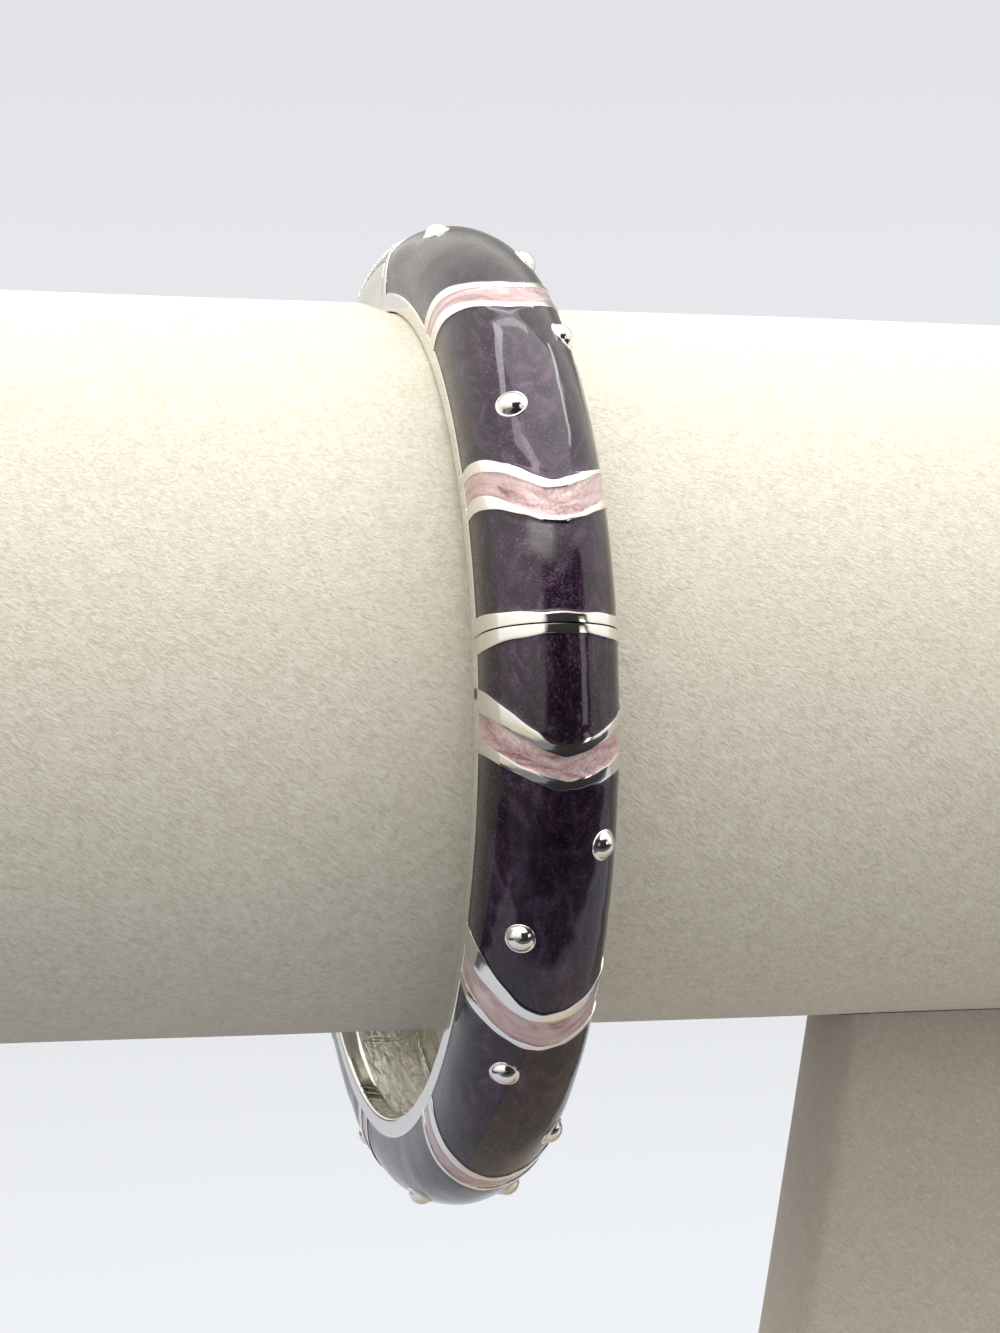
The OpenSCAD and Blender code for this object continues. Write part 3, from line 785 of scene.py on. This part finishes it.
# Columns: name, start and end across the band, and body
knuckles = [("left", -OUTER_END, -OUTER_START, "root"), ("right", OUTER_START, OUTER_END, "root"),
            ("middle", -KNUCKLE_L / 2, KNUCKLE_L / 2, "lower_half")]
for label, start, end, body in knuckles:
    turned_part("knuckle_" + label, PIN_R, PARTING_A + 180, start, end, KNUCKLE_R, bright_plating, body)
turned_part("pin_of_hinge", PIN_R, PARTING_A + 180, -OUTER_END - PIN_OVER, OUTER_END + PIN_OVER, HINGE_PIN_R,
            bright_plating, "root", nodes=["hinge_pin"])
catch_r = math.hypot(BORE_R + CATCH_H, CATCH_L)
catch_a = PARTING_A - math.degrees(math.atan2(CATCH_L, BORE_R + CATCH_H))
turned_part("pin_of_catch", catch_r, catch_a, -HALF_W - CATCH_OVER, HALF_W + CATCH_OVER, CATCH_R, dark_steel,
            "lower_half", edge=0.05, nodes=["catch_pin"])
print("knuckles:", len(knuckles), "pins: 2")

# %% The clasp's tongue
# Depth of each ring above the parting, and its size as a share of the full one: the tip is bevelled
TONGUE_RINGS = np.array([(2.5, 1), (0.5, 1), (-1, 1), (-2.5, 1), (0.5 - CLASP_L, 1), (0.2 - CLASP_L, 0.93),
                         (-CLASP_L, 0.75)])
TONGUE_POWER = 0.3


def make_tongue():
    """A rounded rectangle carried down from inside the upper half: cosine and sine to a power below one."""
    turn = full_turn(TURN_SIDES)
    round_h, round_u = (np.sign(v) * np.abs(v) ** TONGUE_POWER for v in (np.cos(turn), np.sin(turn)))
    depth, size = TONGUE_RINGS.T[..., None]
    height, across = CLASP_R + CLASP_T / 2 * round_h * size, CLASP_W / 2 * round_u * size
    grid = from_end(height, depth, across, PARTING_A, 1)
    points = place(*np.moveaxis(grid, -1, 0))
    return make_piece("clasp_tongue", points, [bright_plating], "root")


tongue = make_tongue()
print("tongue:", len(tongue.data.polygons), "faces")

# %% [markdown]
# ## Enamel in the cells
# Resin is poured into each cell and sets a little below the metal. It clings to the walls, so it climbs at
# the edges, and its top is never quite level. Every cell gets its own closed sheet with just that top.

# %% Helpers for sheets
rng = np.random.default_rng(7)
EDGE_STEPS = np.array([0, 0.04, 0.1, 0.18, 0.3])


def spaced(length, step):
    """Distances from 0 to length: even steps in the middle, and close together near both ends."""
    inner = np.linspace(EDGE_STEPS[-1], length - EDGE_STEPS[-1], max(2, int(length / step)))[1:-1]
    return np.concatenate([EDGE_STEPS, inner, length - EDGE_STEPS[::-1]])


def ripple(along, across):
    """Soft unevenness: the mean of five sine waves in random directions, 2 to 6 mm long."""
    total = 0
    for _ in range(5):
        way, length, start = rng.uniform(0, math.pi), rng.uniform(2, 6), rng.uniform(0, 6.28)
        distance = along * math.cos(way) + across * math.sin(way)
        total = total + np.sin(2 * math.pi / length * distance + start)
    return total / 5


def closed_sheet(top, bottom):
    """Points and faces of a sheet: a top grid, a bottom grid and a wall round their border."""
    rows, cols = top.shape[:2]
    index = np.arange(rows * cols).reshape(rows, cols)
    border = np.concatenate([index[0, :-1], index[:-1, -1], index[-1, :0:-1], index[:0:-1, 0]])
    beside = np.roll(border, -1)
    below = rows * cols
    wall = np.stack([border, border + below, beside + below, beside], -1)
    flat = grid_faces(rows, cols)
    faces = np.concatenate([flat, flat[:, ::-1] + below, wall])
    return np.concatenate([top.reshape(-1, 3), bottom.reshape(-1, 3)]), faces


print("distances over 2 mm:", spaced(2, 0.24).round(2).tolist())

# %% Top and bottom of one cell's enamel
CLING_W, CLING_H = 0.3, 0.035
RIPPLE_H, CALM_W = 0.025, 0.6
ACROSS_STEP, ALONG_STEP = 0.24, 0.28


def enamel_grid(first, last):
    """A grid over the cell. It lies below the metal's surface by the drop, less the climb at the edges, plus
    the ripple, which dies out there."""
    rim = np.interp(RIM_H, WALK_H, WALK_RUN)
    width = 2 * (WALK_RUN[-1] - rim)
    d_across = spaced(width, ACROSS_STEP)
    side = np.where(d_across < width / 2, -1, 1)
    t = np.interp(rim + np.minimum(d_across, width - d_across), WALK_RUN, WALK_T)
    h, u = section(t)
    nh, nu = section_normal(t)
    u, nu = u * side, nu * side
    a, b = first(BORE_R + h, u), last(BORE_R + h, u)
    length = np.abs(np.radians(b - a)).mean() * CREST_R
    d_along = spaced(length, ALONG_STEP)[:, None]
    angle = a + d_along / length * (b - a)
    edge = np.minimum(np.minimum(d_across, width - d_across), np.minimum(d_along, length - d_along))
    wave = ripple(np.radians(angle) * CREST_R, u + 0 * angle) * np.clip(edge / CALM_W, 0, 1)
    depth = ENAMEL_DROP - shoulder(edge, CLING_W, CLING_H) + RIPPLE_H * wave
    top = place(BORE_R + h - depth * nh, angle, u - depth * nu)
    bottom = place(BORE_R + h - ENAMEL_T * nh, angle, u - ENAMEL_T * nu)
    flat = stacked(d_across, d_along).reshape(-1, 2) * MM
    return top, bottom, flat


print("enamel lies", ENAMEL_DROP, "mm below the metal and climbs", CLING_H, "mm at its edges")

# %% Fill the cells
# Each sheet's pattern starts 30 mm from the last one's, so no two panels have the same swirls
PATTERN_SHIFT = 0.03
ENAMELS = {"purple": purple_enamel, "pink": pink_enamel}
sheets = 0
for half, regions, body in (("upper", upper_regions, "root"), ("lower", lower_regions, "lower_half")):
    counts = {"purple": 0, "pink": 0}
    for kind, first, last in regions:
        if kind in ENAMELS:
            counts[kind] += 1
            top, bottom, flat = enamel_grid(first, last)
            points, faces = closed_sheet(top, bottom)
            flat = flat + [0, PATTERN_SHIFT * sheets]
            name, node = f"{kind}_sheet_{half}_{counts[kind]}", f"{kind}_{half}_{counts[kind]}"
            make_piece(name, points, [ENAMELS[kind]], body, [node], faces,
                       uv=np.concatenate([flat, flat]))
            sheets += 1
    print(half, "enamel sheets:", counts)

# %% [markdown]
# ## Studs and stones
# The studs are small domes cast with the band, and each stands in a low ring where the enamel was wiped
# off. The stones sit in rows across the crown, held by beads raised from the metal. All the studs of a
# half are one piece, and so are all the stones: each is the same small turned or faceted form, moved to
# its place on the curved surface and turned to stand straight on it.

# %% Place small things on the surface
def on_surface(angle, share, local):
    """Local points (along the hoop, across, out) moved to the band; share is of the half width."""
    t = np.degrees(np.arccos(np.abs(share) ** (CREST_POWER / 2)))
    h, u = section(t)
    nh, nu = section_normal(np.minimum(t, 89.9))
    side = np.where(share < 0, -1.0, 1.0)
    flat = np.abs(share) < TINY
    nh, nu = np.where(flat, 1, nh)[:, None], (np.where(flat, 0, nu) * side)[:, None]
    along, across, out = local[..., 0], local[..., 1], local[..., 2]
    radial = (BORE_R + h)[:, None] + out * nh - across * nu
    sideways = (u * side)[:, None] + out * nu + across * nh
    a = np.radians(angle)[:, None]
    y = -radial * np.cos(a) + along * np.sin(a)
    z = radial * np.sin(a) + along * np.cos(a)
    return (stacked(sideways, y, z) + HOOP) * MM


def copies(name, places, local, sides, material, body, sharp, nodes=(), uneven=0.0):
    """Many copies of one small tube, whose rings have that many points, as a single mesh. places are angles
    and shares, and each copy is larger or smaller by up to the share uneven."""
    count, size = len(places), len(local)
    local = local[None] * (1 + uneven * rng.uniform(-1, 1, (count, 1, 1)))
    starts = np.arange(count)[:, None, None] * size
    faces, ends = ((part + starts).reshape(-1, part.shape[1]) for part in tube_faces(size // sides, sides))
    points = on_surface(places[:, 0], places[:, 1], local)
    return make_piece(name, points, [material], body, nodes, faces, ends, sharp=sharp)


def lathe(profile, sides):
    """Local points of a turned form: one ring of radius r at height z for each (r, z) of the profile."""
    r, z = np.transpose(profile)[..., None]
    return around(r, full_turn(sides), z).reshape(-1, 3)


def dome(radius, sink, lowest):
    """Profile of a dome: a circle's arc from its lowest angle up to the top, sunk by so much."""
    arc = np.radians(np.linspace(lowest, 89, 9))
    return stacked(radius * np.cos(arc), radius * np.sin(arc) - sink)


crest = on_surface(np.array([90.0]), np.zeros(1), np.zeros((1, 1, 3)))[0, 0]
print("top of the crest, mm:", (crest / MM).round(2).tolist())

# %% Studs
# Each stud's angle and its place across the band, as a share of the half width
UPPER_STUDS = np.array([(34.7, -0.42), (46.9, 0.70), (68.0, 0.78), (76.6, -0.44)])
LOWER_STUDS = np.array([(-12.5, 0.64), (-22.3, -0.50), (-39.6, -0.42), (-53.0, 0.72)])
BOTTOM_STUDS = np.array([(-72.5, 0.66), (-81.0, -0.58), (-92.0, 0.66)])
STUD_D = 1.9
STUD_SINK = 0.45
STUD_SIDES = 28
STUD_UNEVEN = 0.03
# Radius and height of the root in the metal and of the low ring round the dome
STUD_FOOT = [(0.02, -0.62), (1.0, -0.6), (1.0, -0.12), (0.97, -0.075), (0.93, -0.055), (0.89, -0.05)]
stud = lathe(np.concatenate([STUD_FOOT, dome(STUD_D / 2, STUD_SINK, 26)]), STUD_SIDES)
# The far side's studs mirror the near side's about the middle of each half
far_upper = UPPER_STUDS * [-1, -1] + [2 * UPPER_MID, 0]
far_lower = LOWER_STUDS * [-1, -1] + [2 * LOWER_MID, 0]
all_upper = np.concatenate([UPPER_STUDS, far_upper])
all_lower = np.concatenate([LOWER_STUDS, BOTTOM_STUDS, far_lower])
for name, places, body in (("studs_upper", all_upper, "root"), ("studs_lower", all_lower, "lower_half")):
    copies(name, places, stud, STUD_SIDES, bright_plating, body, 60, uneven=STUD_UNEVEN)
print("studs:", len(all_upper) + len(all_lower))

# %% Places of the stones
# A stone's width, the gap between two, how far it is sunk, the rows on each side of the middle one, and
# the section angle between rows
STONE_D, STONE_GAP, STONE_INSET, STONE_ROWS, ROW_T = 1.1, 0.14, 0.02, 3, 18.6


def stone_row(row):
    """Angles and shares of one row across the crown: it is as long as the round ends beside it let it be."""
    h, u = section(90 - ROW_T * abs(row))
    r, odd = BORE_R + h, abs(row) % 2
    end_s = math.sqrt((TONGUE_R + BORDER_W) ** 2 - u * u) - TONGUE_R
    room = math.asin((STONE_D / 2 + STONE_GAP) / r)
    start = UPPER_MID - TONGUE_A + math.degrees(math.asin(end_s / r) + room)
    pitch = 2 * math.degrees(math.asin((STONE_D + STONE_GAP) / 2 / (r - STONE_D * 0.5)))
    count = 2 * int((2 * (UPPER_MID - start) / pitch - odd) // 2) + 1 + odd
    return stacked(UPPER_MID + (np.arange(count) - (count - 1) / 2) * pitch, np.sign(row) * u / HALF_W)


stone_rows = [stone_row(row) for row in range(-STONE_ROWS, STONE_ROWS + 1)]
print("stones in each row:", [len(row) for row in stone_rows])

# %% Cut the stones
STONE_CORNERS = 16
# Rings from the table down: size as a share of the girdle, the power of the facets' lift, and height as a
# share of the stone's width
STONE_RINGS = np.array([(0.01, 0, 0.165), (0.58, 1, 0.165), (0.776, -1, 0.10), (1, 0, 0.02), (1, 0, -0.02),
                        (0.5, 0, -0.24), (0.02, 0, -0.42)])


def cut_stone():
    """Rings of sixteen corners. Every second corner of the crown is moved by the lift, and makes facets."""
    lift = np.where(np.arange(STONE_CORNERS) % 2 == 0, 1.0, 0.93)
    share, power, level = STONE_RINGS.T[..., None]
    r, z = STONE_D / 2 * share * lift ** power, level * STONE_D - STONE_INSET
    return around(r, full_turn(STONE_CORNERS), z).reshape(-1, 3)


stone_places = np.concatenate(stone_rows)
copies("cut_stones", stone_places, cut_stone(), STONE_CORNERS, crystal, "root", None,
       ["pave_stones"])
print("stones:", len(stone_places))

# %% Beads that hold the stones
BEAD_R, BEAD_SINK, BEAD_ROOT, BEAD_SIDES = 0.17, 0.08, 0.5, 12


def beads_between(low, high):
    """A bead between each two stones of the longer of two rows, halfway to the other row."""
    longer = low if len(low) > len(high) else high
    return stacked((longer[1:, 0] + longer[:-1, 0]) / 2, (low[0, 1] + high[0, 1]) / 2)


ball = dome(BEAD_R, BEAD_SINK, -80)
bead = lathe(np.concatenate([ball[:1] - [0, BEAD_ROOT], ball]), BEAD_SIDES)
bead_places = np.concatenate([beads_between(*pair) for pair in zip(stone_rows[:-1], stone_rows[1:])])
copies("stone_beads", bead_places, bead, BEAD_SIDES, bright_plating, "root", 60)
print("beads:", len(bead_places))

# %% [markdown]
# ## The stand
# The stand is three velvet-covered forms. The bar and the base are profiles turned round an axis, which
# gives their soft edges at once. The nap makes a covered form slightly uneven, and the bangle presses a
# shallow dent into it. The post is flat in front and behind, it flares towards its foot, and its top edge
# follows the underside of the bar.

# %% A turned form under velvet
# The bar: radius, height of its middle, length and rounding. The base: radius, thickness and rounding
BAR_R, BAR_Z, BAR_L, BAR_ROUND = 26.0, 100.0, 184.0, 3.0
BASE_R, BASE_T, BASE_ROUND = 62.0, 12.0, 4.0
REST_GAP = 0.1
CENTRE_R = 0.5
SPRING_BACK = 2.2


def soft_lathe(name, along, radius, axis, cloth, nodes, sides=160, start=0.0, dent=None):
    """A profile turned round the X or Z axis; two sine waves of 0.02 mm make it uneven, as the nap does."""
    turn = full_turn(sides)
    along, radius = along[:, None], radius[:, None]
    uneven = 0.02 * (np.sin(3 * turn + along / 9) + np.sin(7 * turn - along / 5)) - 0.04
    r = np.maximum(radius + uneven * (radius > 1), 0.01)
    if dent:
        r = dent(along, turn, r)
    points = around(r, turn, along)
    if axis == "X":
        points = points[..., [2, 0, 1]] * [1, -1, 1] + [0, 0, start]
    return make_piece(name, points * MM, [cloth], "root", nodes, sharp=50)


def pressed(x, turn, r):
    """The dent under the bangle: velvet reaches to the bore's circle, and springs back beside the rims."""
    drop = HOOP[2] - BAR_Z
    limit = np.sqrt((BORE_R - REST_GAP) ** 2 - (drop * np.cos(turn)) ** 2) + drop * np.sin(turn)
    beside = np.clip((np.abs(x - HOOP[0]) - HALF_W - REST_GAP) / SPRING_BACK, 0, 1)
    return np.where(np.sin(turn) > 0, np.minimum(r, limit + beside * (BAR_R - limit).clip(0)), r)


print("dent under the bangle, mm:", (BAR_R - pressed(HOOP[0], math.pi / 2, BAR_R)).round(3))

# %% Bar
# Rings lie closer together where the bangle presses in, out to this distance beside it
PRESSED_W = 2.6
along, inward = quarter(BAR_ROUND)
end_x, end_r = along - BAR_L / 2, BAR_R - inward
even_x = np.linspace(1 - BAR_L / 2 + BAR_ROUND, BAR_L / 2 - BAR_ROUND - 1, 110)
even_x = even_x[np.abs(even_x - HOOP[0]) > HALF_W + PRESSED_W + 0.4]
close_x = HOOP[0] + np.linspace(-HALF_W - PRESSED_W, HALF_W + PRESSED_W, 45)
body_x = np.sort(np.concatenate([even_x, close_x]))
disc_r = np.array([CENTRE_R, 8.0, 16.0])
bar_x = np.concatenate([np.full(3, -BAR_L / 2), end_x, body_x, -end_x[::-1], np.full(3, BAR_L / 2)])
bar_r = np.concatenate([disc_r, end_r, np.full(len(body_x), BAR_R), end_r[::-1], disc_r[::-1]])
velvet_bar = soft_lathe("velvet_bar", bar_x, bar_r, "X", velvet, ["stand_bar"], start=BAR_Z, dent=pressed)
print("bar:", len(velvet_bar.data.polygons), "faces")

# %% Base
under = [(CENTRE_R, 0.0), (BASE_R / 2, 0.0), (BASE_R - 2, 0.0)]
side = [(BASE_R, 0.0), (BASE_R, 0.6), (BASE_R, 4.0), (BASE_R, BASE_T - BASE_ROUND)]
along, inward = quarter(BASE_ROUND)
edge = stacked(BASE_R - along[1:], BASE_T - inward[1:])
top = stacked(np.linspace(BASE_R - BASE_ROUND - 2, CENTRE_R, 30), BASE_T)
base_r, base_z = np.concatenate([under, side, edge, top]).T
velvet_base = soft_lathe("velvet_base", base_z, base_r, "Z", velvet_painted_shade, ["stand_base"], sides=220)
print("base:", len(velvet_base.data.polygons), "faces")

# %% Post
# Half the width at the bar, the thickness, the flare in degrees and the extra spread at the foot
POST_R, POST_T, POST_FLARE, POST_FOOT = 16.25, 10.0, 9.0, 5.0
POST_SIDES = 160
# The post is drawn closer to the bar than in the model, where it keeps a gap of a tenth of a millimetre
SEAM = 0.02


def flattened(y):
    """Softly limits y to half the post's thickness, as y over the sixth root of one plus its sixth power."""
    part = y / (POST_T / 2)
    return POST_T / 2 * part / (1 + np.abs(part) ** 6) ** (1 / 6)


def make_post():
    """Rows run from the middle of the top, which lies under the bar's circle, out to its edge and down. The
    radius grows with the tangent of the flare, and with a fifth power near the foot."""
    turn = full_turn(POST_SIDES)
    top_r = POST_R * np.linspace(0.02, 1, 16)[:, None]
    x, y = top_r * np.cos(turn), flattened(top_r * np.sin(turn))
    top = stacked(x, y, BAR_Z - np.sqrt((BAR_R + SEAM) ** 2 - y ** 2))
    edge_z = top[-1, :, 2]
    foot_z = BASE_T + REST_GAP
    tall = BAR_Z - BAR_R - foot_z
    z = edge_z + np.linspace(0, 1, 90)[1:, None] * (foot_z - edge_z)
    down = np.clip(1 - (z - foot_z) / tall, 0, 1)
    r = POST_R + tall * down * math.tan(math.radians(POST_FLARE)) + POST_FOOT * down ** 5
    side = stacked(r * np.cos(turn), flattened(r * np.sin(turn)), z)
    grid = np.concatenate([top, side]) * MM
    return make_piece("velvet_post", grid, [velvet_painted_shade], "root", ["stand_post"], sharp=50)


velvet_post = make_post()
print("post:", len(velvet_post.data.polygons), "faces")

# %% [markdown]
# ## Floor, light and camera
# Bright metal and glossy enamel look like what they mirror, so the set is made for its reflections. A wide
# soft light hangs over the stand, and four narrow ones draw the long streaks on the band. The floor is a
# flat pale disc: the camera sees one even colour, while the band sees darker zones before the stand. The
# world is bright all round but for a few dim zones, and the one behind the camera turns the crest dark.

# %% Floor
# Zones of the floor as the band sees them, each laid over the last: painted reflections of the surroundings,
# darkest before the stand. Columns: axis, where the zone starts and where it is full in metres, and colour
FRONT_ZONES = [(1, -0.21, -0.10, "#4c4e56"), (0, -0.13, -0.19, "#66686e")]
FLOOR_ZONES = [(0, -0.21, -0.26, "#37383b"), (1, -0.080, -0.094, "front"), (0, -0.50, -0.90, "#bdb9ab")]
FLOOR_SIDES = 96
FLOOR_Z = -0.05


def zoned(tree, spot, shown, zones):
    """A colour, and over it the zones' colours, each by a smooth step along its axis."""
    for axis, start, full, colour in zones:
        share = add(tree, "MapRange", {"Value": spot[axis], "From Min": start, "From Max": full}, SMOOTH)
        mixed = add(tree, "Mix", {"Factor": share, COLOUR_A: shown, COLOUR_B: colour}, COLOURS)
        shown = mixed.outputs[COLOUR_OUT]
    return shown


def floor_cloth():
    """Pale paper for the camera's rays. Scattered light sees a darker grey, painted shade that dims the
    bounce onto the bar's underside, and reflections see the zones, painted reflections of the surroundings.
    """
    made, tree, shader, where = new_material("pale_floor")
    rays = add(tree, "LightPath", {}).outputs
    spot = add(tree, "SeparateXYZ", {0: where["Object"]}).outputs
    front = zoned(tree, spot, "#141316", FRONT_ZONES)
    zones = [(axis, start, full, front if colour == "front" else colour)
             for axis, start, full, colour in FLOOR_ZONES]
    shown = zoned(tree, spot, "#adb1ba", zones)
    for ray, colour in (("Is Diffuse Ray", "#787c84"), ("Is Camera Ray", "#c1c5cd")):
        mixed = add(tree, "Mix", {"Factor": rays[ray], COLOUR_A: shown, COLOUR_B: colour}, COLOURS)
        shown = mixed.outputs[COLOUR_OUT]
    connect(tree, shader, {"Base Color": shown, "Roughness": 0.8, "Specular IOR Level": 0.1})
    return made


def make_floor():
    """A flat round sheet in rings, six metres in radius."""
    r = np.array([1, 100, 300, 700, 1500, 3000, 6000])[:, None]
    points = around(r, full_turn(FLOOR_SIDES), FLOOR_Z).reshape(-1, 3) * MM
    faces = grid_faces(len(r), FLOOR_SIDES, wrap=True).tolist() + [list(range(FLOOR_SIDES))]
    mesh = bpy.data.meshes.new("floor")
    mesh.from_pydata(points.tolist(), [], faces)
    mesh.materials.append(floor_cloth())
    floor = bpy.data.objects.new("floor", mesh)
    bpy.context.scene.collection.objects.link(floor)
    return floor


floor = make_floor()
print("floor:", len(floor.data.polygons), "faces")

# %% World
# Zones of the sky in degrees. Azimuth is 0 on the near side and grows to the right. Columns: azimuth
# from, to and softness, elevation from, to and softness, strength for mirrored and for scattered light
DIM_ZONES = [(-17, 54, 4, -70, 33, 4, 0.97, 0.48), (132, 176, 8, -5, 33, 8, 0.65, 0.65),
             (-190, -167, 3, 5, 24, 3, 0.3, 0.3)]
BRIGHT_ZONES = [(41, 49, 2, -9, 17, 4, 2.0, 2.0), (-36, 6, 9, 37, 45, 4, 4.0, 0.0)]


def zone_light(tree, azimuth, elevation, scattered, zones):
    """The zones added up: each is its strength times four smooth steps, one for every side."""
    total = 0.0
    for az_from, az_to, az_soft, el_from, el_to, el_soft, mirrored_light, scattered_light in zones:
        zone = add(tree, "Mix", {"Factor": scattered, "A": mirrored_light, "B": scattered_light})
        for value, side, soft in ((azimuth, az_from, az_soft), (azimuth, az_to, -az_soft),
                                  (elevation, el_from, el_soft), (elevation, el_to, -el_soft)):
            step = add(tree, "MapRange", {
                "Value": value, "From Min": side - soft, "From Max": side + soft}, SMOOTH)
            zone = add(tree, "Math", {0: zone, 1: step}, TIMES)
        total = add(tree, "Math", {0: total, 1: zone}, PLUS)
    return total


def make_world():
    """The light is brighter with height, times one less the dim zones, plus the bright zones. The camera
    sees a plain pale backdrop instead."""
    world = bpy.data.worlds.new("studio")
    world.use_nodes = True
    tree = world.node_tree
    tree.nodes.clear()
    rays = add(tree, "LightPath", {}).outputs
    scattered = rays["Is Diffuse Ray"]
    x, y, z = add(tree, "SeparateXYZ", {
        0: add(tree, "TexCoord", {}).outputs["Generated"]}).outputs
    towards = add(tree, "Math", {0: y, 1: -1.0}, TIMES)
    azimuth = add(tree, "Math", {0: x, 1: towards}, {"operation": "ARCTAN2"})
    azimuth = add(tree, "Math", {0: azimuth, 1: math.degrees(1)}, TIMES)
    elevation = add(tree, "Math", {0: z}, {"operation": "ARCSINE"})
    elevation = add(tree, "Math", {0: elevation, 1: math.degrees(1)}, TIMES)
    sky = add(tree, "MapRange", {
        "Value": elevation, "From Min": -35.0, "From Max": 35.0, "To Min": 0.4, "To Max": 1.5}, SMOOTH)
    dim = zone_light(tree, azimuth, elevation, scattered, DIM_ZONES)
    bright = zone_light(tree, azimuth, elevation, scattered, BRIGHT_ZONES)
    light = add(tree, "Math", {0: 1.0, 1: dim}, MINUS)
    light = add(tree, "Math", {0: sky, 1: light}, TIMES)
    light = add(tree, "Math", {0: light, 1: bright}, PLUS)
    room = add(tree, "Background", {"Color": "#fbf8f2", "Strength": light})
    height = add(tree, "MapRange", {"Value": elevation, "From Min": -1.0, "From Max": 14.0})
    paper = add(tree, "ValToRGB", {"Fac": height}, stops=[(0.0, "#eef0f4"), (1.0, "#e2e3e7")])
    backdrop = add(tree, "Background", {"Color": paper, "Strength": 1.0})
    seen = add(tree, "MixShader", {0: rays["Is Camera Ray"], 1: room, 2: backdrop})
    add(tree, "OutputWorld", {"Surface": seen})
    return world


bpy.context.scene.world = make_world()
print("zones of the sky:", len(DIM_ZONES), "dim and", len(BRIGHT_ZONES), "bright")

# %% Lights
# All the lights look straight down. Columns: name, place and size in millimetres, watts, turn in degrees
LIGHTS = [
    ("overhead", (130, -150, 622), (640, 480), 1.37, 0),
    ("left_strip", (-218, -15, 620), (60, 225), 0.20, -49),
    ("lower_strip", (-194, -292, 621), (90, 290), 0.22, 46),
    ("right_strip", (395, 10, 620), (50, 330), 0.26, 25),
    ("back_strip", (0, 60, 620), (260, 26), 0.06, 0)]
DOWN = (0, 0, -1)


def set_up(name, data, spot, way, turn=0.0):
    """Puts a light or a camera at a spot, looking that way, turned round its own axis."""
    made = bpy.data.objects.new(name, data)
    made.location = Vector(spot) * MM
    made.rotation_euler = Vector(way).to_track_quat("-Z", "Y").to_euler()
    made.rotation_euler.rotate_axis("Z", math.radians(turn))
    bpy.context.scene.collection.objects.link(made)
    return made


for name, spot, size, power, turn in LIGHTS:
    light = bpy.data.lights.new(name, "AREA")
    light.shape = "RECTANGLE"
    light.size, light.size_y = size[0] * MM, size[1] * MM
    light.energy = power
    set_up(name, light, spot, DOWN, turn)
print("lights:", len(LIGHTS))

# %% Camera
# Where the photograph was taken from, in millimetres, and the way it looks
CAMERA_SPOT = (-88.28, -183.77, 100.03)
CAMERA_WAY = (0.248, 0.969, 0)
LENS, SENSOR_W, CLIP_START = 70.2, 36, 0.01
camera = set_up("camera", bpy.data.cameras.new("camera"), CAMERA_SPOT, CAMERA_WAY)
camera.data.lens = LENS
camera.data.sensor_width = SENSOR_W
camera.data.clip_start = CLIP_START
bpy.context.scene.camera = camera
bpy.context.scene.view_settings.view_transform = "Standard"
print("the camera looks", round(math.degrees(math.atan2(*CAMERA_WAY[:2])), 1), "degrees off square-on")
